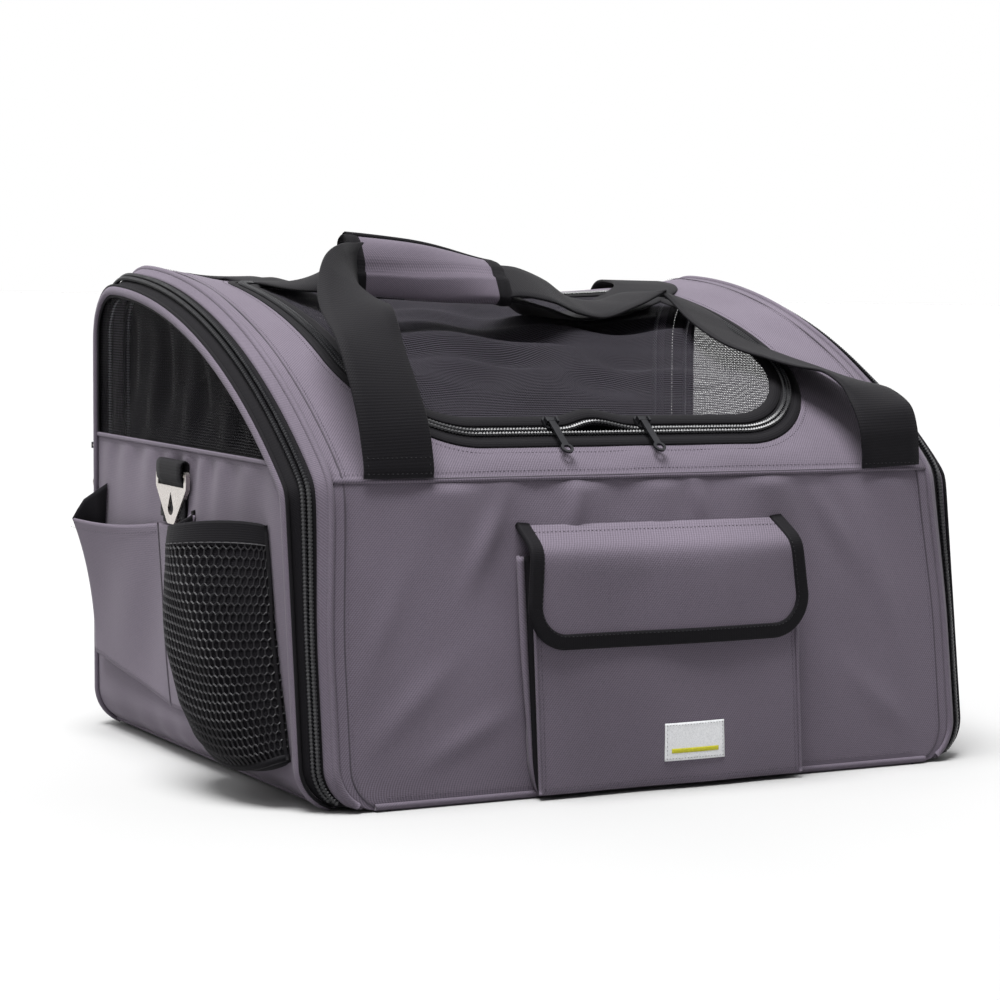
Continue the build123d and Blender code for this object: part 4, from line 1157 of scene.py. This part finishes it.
def spline(points, n):
    """Catmull-Rom through the points."""
    p = np.asarray(points, float)
    q = np.vstack([2 * p[0] - p[1], p, 2 * p[-1] - p[-2]])
    out = []
    for u in np.linspace(0, len(p) - 1, n):
        i = min(int(u), len(p) - 2)
        t = u - i
        a, b, c, d = q[i], q[i + 1], q[i + 2], q[i + 3]
        out.append(0.5 * ((2 * b) + (c - a) * t + (2 * a - 5 * b + 4 * c - d) * t * t
                          + (3 * b - a - 3 * c + d) * t ** 3))
    return np.array(out)


def strap(name, stations, body, replaces=()):
    """Webbing through stations, each a middle and a direction across it; it narrows inside the grip."""
    n = 26 * len(stations)
    centre = spline([s[0] for s in stations], n)
    across = spline([unit(np.array(s[1], float)) for s in stations], n)
    t = unit(np.gradient(centre, axis=0))
    across = unit(across - (across * t).sum(1)[:, None] * t)
    normal = np.cross(across, t)
    outside = np.maximum(GX0 - centre[:, 0], centre[:, 0] - GX1)
    wide = 0.8 + 0.2 * ease((outside + 8) / 34)
    return tube(name, centre, normal, strip_section(WEB_W, WEB_T), "webbing", body, "black_webbing",
                scale=np.stack([wide, wide * 0 + 1], 1), replaces=replaces)


def lay(x, y, across, above=2.6):
    """A strap station lying on the roof."""
    return tuple(on_roof(x, y, above)), across


front_left = [
    ((-187, -171, 206), (1, 0, 0)), ((-187, -170.5, 216), (1, 0, 0)), ((-188, -164, 241), (1, 0, 0)),
    ((-189, -149, 268), (1, 0.08, 0)), ((-188, -127, 293), (1, 0.1, 0)),
    ((-183, -97, 314), (1, -0.3, -0.1)), ((-168, -60, 328), (0.85, -0.1, -0.5)),
    ((-152, -27, 334), (0.5, 0.15, -0.85)), ((-137, -6, 336), (0.1, -0.05, -1)),
    ((-118, -0.5, 337), (0, -0.2, -0.98)), ((-100, 0, 336), (0, -0.25, -0.97)),
]
strap("front_strap_left", front_left, "front_handle", "front_strap")
front_right = [
    ((199, -171.5, 206.5), (1, 0, 0.04)), ((198.5, -171.5, 218), (1, 0.01, 0.06)),
    ((197.5, -170, 233), (1, 0, 0.05)), ((197, -162, 248), (1, 0, 0.05)),
    ((196, -144, 260.5), (0.98, 0.21, -0.04)), ((189, -121, 268), (0.88, 0.44, -0.14)),
    ((175, -98, 274), (0.81, 0.54, -0.04)), ((163, -78, 280), (0.83, 0.55, -0.02)),
    ((148, -58, 288), (0.93, 0.36, -0.06)), ((143, -30, 299), (0.98, 0.1, -0.23)),
    ((146, 2, 312), (0.96, 0.16, -0.24)), ((140, 26, 322), (0.74, 0.66, -0.12)),
    ((120, 33, 324), (-0.04, 1, -0.03)), ((90, 24, 316), (-0.25, 0.97, 0.03)),
    ((60, 18, 313), (-0.19, 0.94, 0.3)), ((36, 12, 320), (-0.11, 0.88, 0.47)),
    ((10, 4, 328), (-0.09, 0.88, 0.47)), ((-12, 1, 331), (-0.03, 0.87, 0.49)),
    ((-32, 1, 331), (0, 0.75, 0.65)), ((-54, 1, 333), (0, 0.62, 0.79)),
]
strap("front_strap_right", front_right, "front_handle")
rear = [
    ((-190, 203.2, 282), (1, 0, 0)), ((-186, 202, 302), (1, 0, 0)), ((-174, 180, 327), (1, 0, 0)),
    lay(-160, 150, (1, 0, 0), 3.5), lay(-150, 126, (1, 0, 0)), ((-146, 94, 327), (1, 0, 0.05)),
    ((-144, 58, 331), (0.9, 0.15, 0.4)), ((-141, 28, 337), (0.55, 0.3, 0.75)),
    ((-132, 9, 338), (0.2, 0.1, 0.95)), ((-118, 3.6, 337), (0, 0.2, 0.98)),
    ((-100, 3.4, 336), (0, 0.25, 0.97)), ((-54, 3.4, 331), (0, 0.62, 0.79)),
    ((-28, 6, 327), (-0.1, 0.85, 0.5)), ((2, 15, 318), (-0.3, 0.93, 0.22)),
    lay(40, 32, (-0.45, 0.88, 0.05), -1), lay(84, 52, (-0.4, 0.9, 0.08), -3),
    lay(128, 74, (-0.5, 0.85, 0.08), -1), lay(168, 104, (-0.75, 0.66, 0.05)),
    lay(184, 138, (-0.95, 0.3, 0.02), 3), ((188, 178, 329), (-1, 0.05, 0)),
    ((190, 202, 302), (-1, 0, 0)), ((190, 203.2, 282), (-1, 0, 0)),
]
rear_webbing = strap("rear_webbing", rear, "rear_handle", "rear_strap")
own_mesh(rear_webbing)

# Box stitching at the straps' feet.
STRAP_X = (-187, 199)
foot_rows = []
for strap_x in STRAP_X:
    y, z = SEAM_Y - 3.4, SEAM_Z + 4
    for a, b in (((-22, 0), (22, 0)), ((-22, 0), (-22, 10)), ((22, 0), (22, 10)), ((-22, 10), (22, 10))):
        foot_rows.append((np.array([(strap_x + c[0], y + c[1] * 0.15, z + c[1]) for c in (a, b)]),
                          np.array([0, -1.0, 0.1])))
stitches("strap_foot_stitching", foot_rows, "front_handle", "black_webbing", "black_thread")

# Padded grip: a wrap that rolls back from its left end to its right end.
GRIP_N, GRIP_AROUND = 61, 36
GRIP_TOP, GRIP_CREASE = 12, 24                         # places round the grip
GRIP_POWER = 0.72                                      # squareness of its section


def grip_section(k, grow=0.0):
    """Points round the grip at a share k of its length: over the back, down to a crease, and under."""
    x = GX0 + (GX1 - GX0) * k
    tilt = radians(24 + 30 * ease((k - 0.35) / 0.65))
    half_h, half_t = 22.0 - 2.0 * k + grow, 9.5 + grow + 1.2 * sin(pi * k)
    fold = -7 + 5 * k
    turn = pi + atan2(abs(fold / half_h) ** (1 / GRIP_POWER), 1.0)
    stops = (-pi / 2, pi / 2, turn, 1.5 * pi)
    a = np.concatenate([np.linspace(a0, a1, 12, endpoint=False) for a0, a1 in zip(stops[:-1], stops[1:])])
    w = half_t * np.sign(np.cos(a)) * np.abs(np.cos(a)) ** GRIP_POWER
    h = half_h * np.sign(np.sin(a)) * np.abs(np.sin(a)) ** GRIP_POWER
    below = np.clip((fold - h) / (half_h + fold), 0, 1) * (a > turn - 0.01)
    w = w * (1 - 0.55 * below) + np.where(np.arange(GRIP_AROUND) == GRIP_CREASE, 2.4, 0)
    zc = 340.0 - 11.0 * k ** 1.3
    y = 1.2 + w * cos(tilt) + h * sin(tilt)
    z = zc - w * sin(tilt) + h * cos(tilt)
    return np.stack([np.full(GRIP_AROUND, x), y, z], -1)


ks = np.linspace(0.04, 0.96, GRIP_N)
pad = np.array([grip_section(k) for k in ks])
pad[..., 1] += waves(pad, 4, 34, 0.35)


def capped(rings, length):
    """Points, faces and UV of rings joined up, closed by a fan at each end."""
    n, m = rings.shape[:2]
    verts = np.vstack([rings.reshape(-1, 3), rings[0].mean(0)[None], rings[-1].mean(0)[None]])
    faces = grid_faces(n, m, close_m=True) + [(n * m, (j + 1) % m, j) for j in range(m)]
    faces += [(n * m + 1, (n - 1) * m + j, (n - 1) * m + (j + 1) % m) for j in range(m)]
    uv = np.stack(np.meshgrid(np.linspace(0, length, n), np.linspace(0, 110, m), indexing="ij"), -1)
    return verts, faces, np.vstack([uv.reshape(-1, 2), [[0, 0]], [[0, 0]]])


verts, faces, uv = capped(pad, 118)
grip = piece("padded_grip", verts, faces, "grey_cloth", "front_handle", "grey_cloth", uv=uv,
             replaces="grip_pad")
bindings = []
for k0, k1 in ((0.0, 0.085), (0.915, 1.0)):
    shares, swell = np.linspace(k0, k1, 6), [1.2 - 0.9 * abs(i - 2.5) / 2.5 for i in range(6)]
    bindings.append(capped(np.array([grip_section(k, grow) for k, grow in zip(shares, swell)]), 10))
top_path = np.array([grip_section(k, grow=0.0)[GRIP_TOP] for k in np.linspace(0.02, 0.98, 60)])
top_normal = unit(top_path - np.array([grip_section(k).mean(0) for k in np.linspace(0.02, 0.98, 60)]))
bindings.append(sweep_mesh(top_path - top_normal * 0.6, top_normal, oval(12, 7.0, 12)))
v, f, u = merged(bindings)
piece("grip_edge_binding", v, f, "binding", "front_handle", "black_binding", uv=u, replaces="grip_binding")

# ---- Floor mat and the CAD pieces that stay ------------------------------------------------------
mlo, mhi = low("floor_mat"), high("floor_mat")
n = 46
u_, v_ = np.meshgrid(np.linspace(-1, 1, n), np.linspace(-1, 1, n), indexing="ij")
mx, my = (mlo[0] + mhi[0]) / 2 + u_ * (mhi[0] - 7), (mlo[1] + mhi[1]) / 2 + v_ * ((mhi[1] - mlo[1]) / 2 - 1)
edge = (1 - np.abs(u_) ** 14) * (1 - np.abs(v_) ** 14)
quilt = 1.6 * (np.abs(np.sin((mx + my) / 38)) ** 0.5 + np.abs(np.sin((mx - my) / 38)) ** 0.5 - 1)
top_z = (mhi[2] - 5) + 3.2 * edge + quilt * edge - (1 - edge) * 4
top = np.stack([mx, my, top_z], -1).reshape(-1, 3)
bottom = np.stack([mx * 0.995, my, np.full(mx.shape, mlo[2] + 0.3)], -1).reshape(-1, 3)
rim = [i * n for i in range(n)] + [(n - 1) * n + j for j in range(1, n)]
rim += [i * n + n - 1 for i in range(n - 2, -1, -1)] + list(range(n - 2, 0, -1))
faces = grid_faces(n, n) + [tuple(reversed(q)) for q in grid_faces(n, n, base=n * n)]
faces += [(rim[k], n * n + rim[k], n * n + rim[(k + 1) % len(rim)], rim[(k + 1) % len(rim)])
          for k in range(len(rim))]
both = np.vstack([top, bottom])
mat = piece("floor_cushion", both, faces, "fleece", "root", "mat_fleece", uv=both[:, :2],
            replaces="floor_mat")

for names, material in (
        (["base_board", "front_stiffener", "back_stiffener"], "plastic"),
        (["left_ring", "right_ring"], "nickel"),
        (["top_left_slider", "top_right_slider", "top_left_pull", "top_right_pull", "right_door_slider",
          "right_door_pull", "left_door_slider"], "black_metal"), (["left_door_pull"], "nickel")):
    for name in names:
        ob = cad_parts[name]
        ob.data.materials.clear()
        ob.data.materials.append(MAT[material])

# ---- The left door's pockets get meshes of their own ---------------------------------------------
for ob in (*parts, net, lining, elastic, sole, rim_tube, *SIDE_BIND):
    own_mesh(ob)


# ---- Studio --------------------------------------------------------------------------------------
FLOOR_REACH = 30.0                                     # metres, from here to the end of the file
SUN_POWER, SUN_ANGLE, SUN_WAY = 6.4, radians(34), (0.16, 0.02, -1)


def studio():
    """A plain pale floor, a bright world behind it and three soft lamps."""
    floor = bpy.data.meshes.new("floor")
    reach = FLOOR_REACH
    floor.from_pydata([(-reach, -reach, 0), (reach, -reach, 0), (reach, reach, 0), (-reach, reach, 0)], [],
                      [(0, 1, 2, 3)])
    ob = bpy.data.objects.new("floor", floor)
    bpy.context.scene.collection.objects.link(ob)
    ob.location.z = -0.0005
    m, tree, b = nodes_for("floor", 0.75, 0.2)
    cloud = noise(tree, object_coords(tree), 2.0, 2.0)
    tree.links.new(ramp(tree, cloud, [(0.3, (0.37,) * 3), (0.7, (0.39,) * 3)]), b.inputs["Base Color"])
    floor.materials.append(m)
    world = bpy.data.worlds.new("studio")
    bpy.context.scene.world = world
    world.use_nodes = True
    tree = world.node_tree
    sky = tree.nodes["Background"]
    sky.inputs[1].default_value = 1.0
    way = node(tree, "ShaderNodeSeparateXYZ",
               {"Vector": node(tree, "ShaderNodeTexCoord").outputs["Generated"]})
    behind = linear(tree, way.outputs["Y"], 0.5, 0.5)
    tree.links.new(ramp(tree, behind, [(0.3, (0.22, 0.22, 0.225)), (0.62, (1.0, 1.0, 1.0))]), sky.inputs[0])
    for name, at, size, power in (("key", (-1.6, -1.6, 2.1), 0.8, 6), ("rim", (-1.2, 1.9, 1.5), 1.2, 8)):
        lamp = bpy.data.lights.new(name, "AREA")
        lamp.energy, lamp.size = power, size
        light = bpy.data.objects.new(name, lamp)
        bpy.context.scene.collection.objects.link(light)
        light.location = at
        light.rotation_euler = (Vector((0, 0, 0.15)) - Vector(at)).to_track_quat("-Z", "Y").to_euler()
    lamp = bpy.data.lights.new("top", "SUN")
    lamp.energy, lamp.angle = SUN_POWER, SUN_ANGLE
    light = bpy.data.objects.new("top", lamp)
    bpy.context.scene.collection.objects.link(light)
    light.rotation_euler = Vector(SUN_WAY).to_track_quat("-Z", "Y").to_euler()
    bpy.context.scene.view_settings.view_transform = "Standard"
    bpy.context.scene.view_settings.look = "None"


CAM_AZIMUTH, CAM_ELEVATION, CAM_ROLL = radians(-29.0), radians(4.832), radians(1.056)
CAM_DISTANCE, CAM_LENS, CAM_RIGHT, CAM_UP = 1.950, 96.38, -0.01329, 0.1729


def camera():
    """Looks at the bag's front and left end, with a small shift and roll."""
    back = Vector((sin(CAM_AZIMUTH) * cos(CAM_ELEVATION), -cos(CAM_AZIMUTH) * cos(CAM_ELEVATION),
                   sin(CAM_ELEVATION)))
    level = Vector((cos(CAM_AZIMUTH), sin(CAM_AZIMUTH), 0))
    upright = back.cross(level)
    right = level * cos(CAM_ROLL) + upright * sin(CAM_ROLL)
    up = upright * cos(CAM_ROLL) - level * sin(CAM_ROLL)
    cam = bpy.data.cameras.new("camera")
    ob = bpy.data.objects.new("camera", cam)
    bpy.context.scene.collection.objects.link(ob)
    cam.lens, cam.sensor_width = CAM_LENS, 36
    at = right * CAM_RIGHT + up * CAM_UP + back * CAM_DISTANCE
    ob.matrix_world = Matrix(((right.x, up.x, back.x, at.x), (right.y, up.y, back.y, at.y),
                              (right.z, up.z, back.z, at.z), (0, 0, 0, 1)))
    bpy.context.scene.camera = ob


studio()
camera()
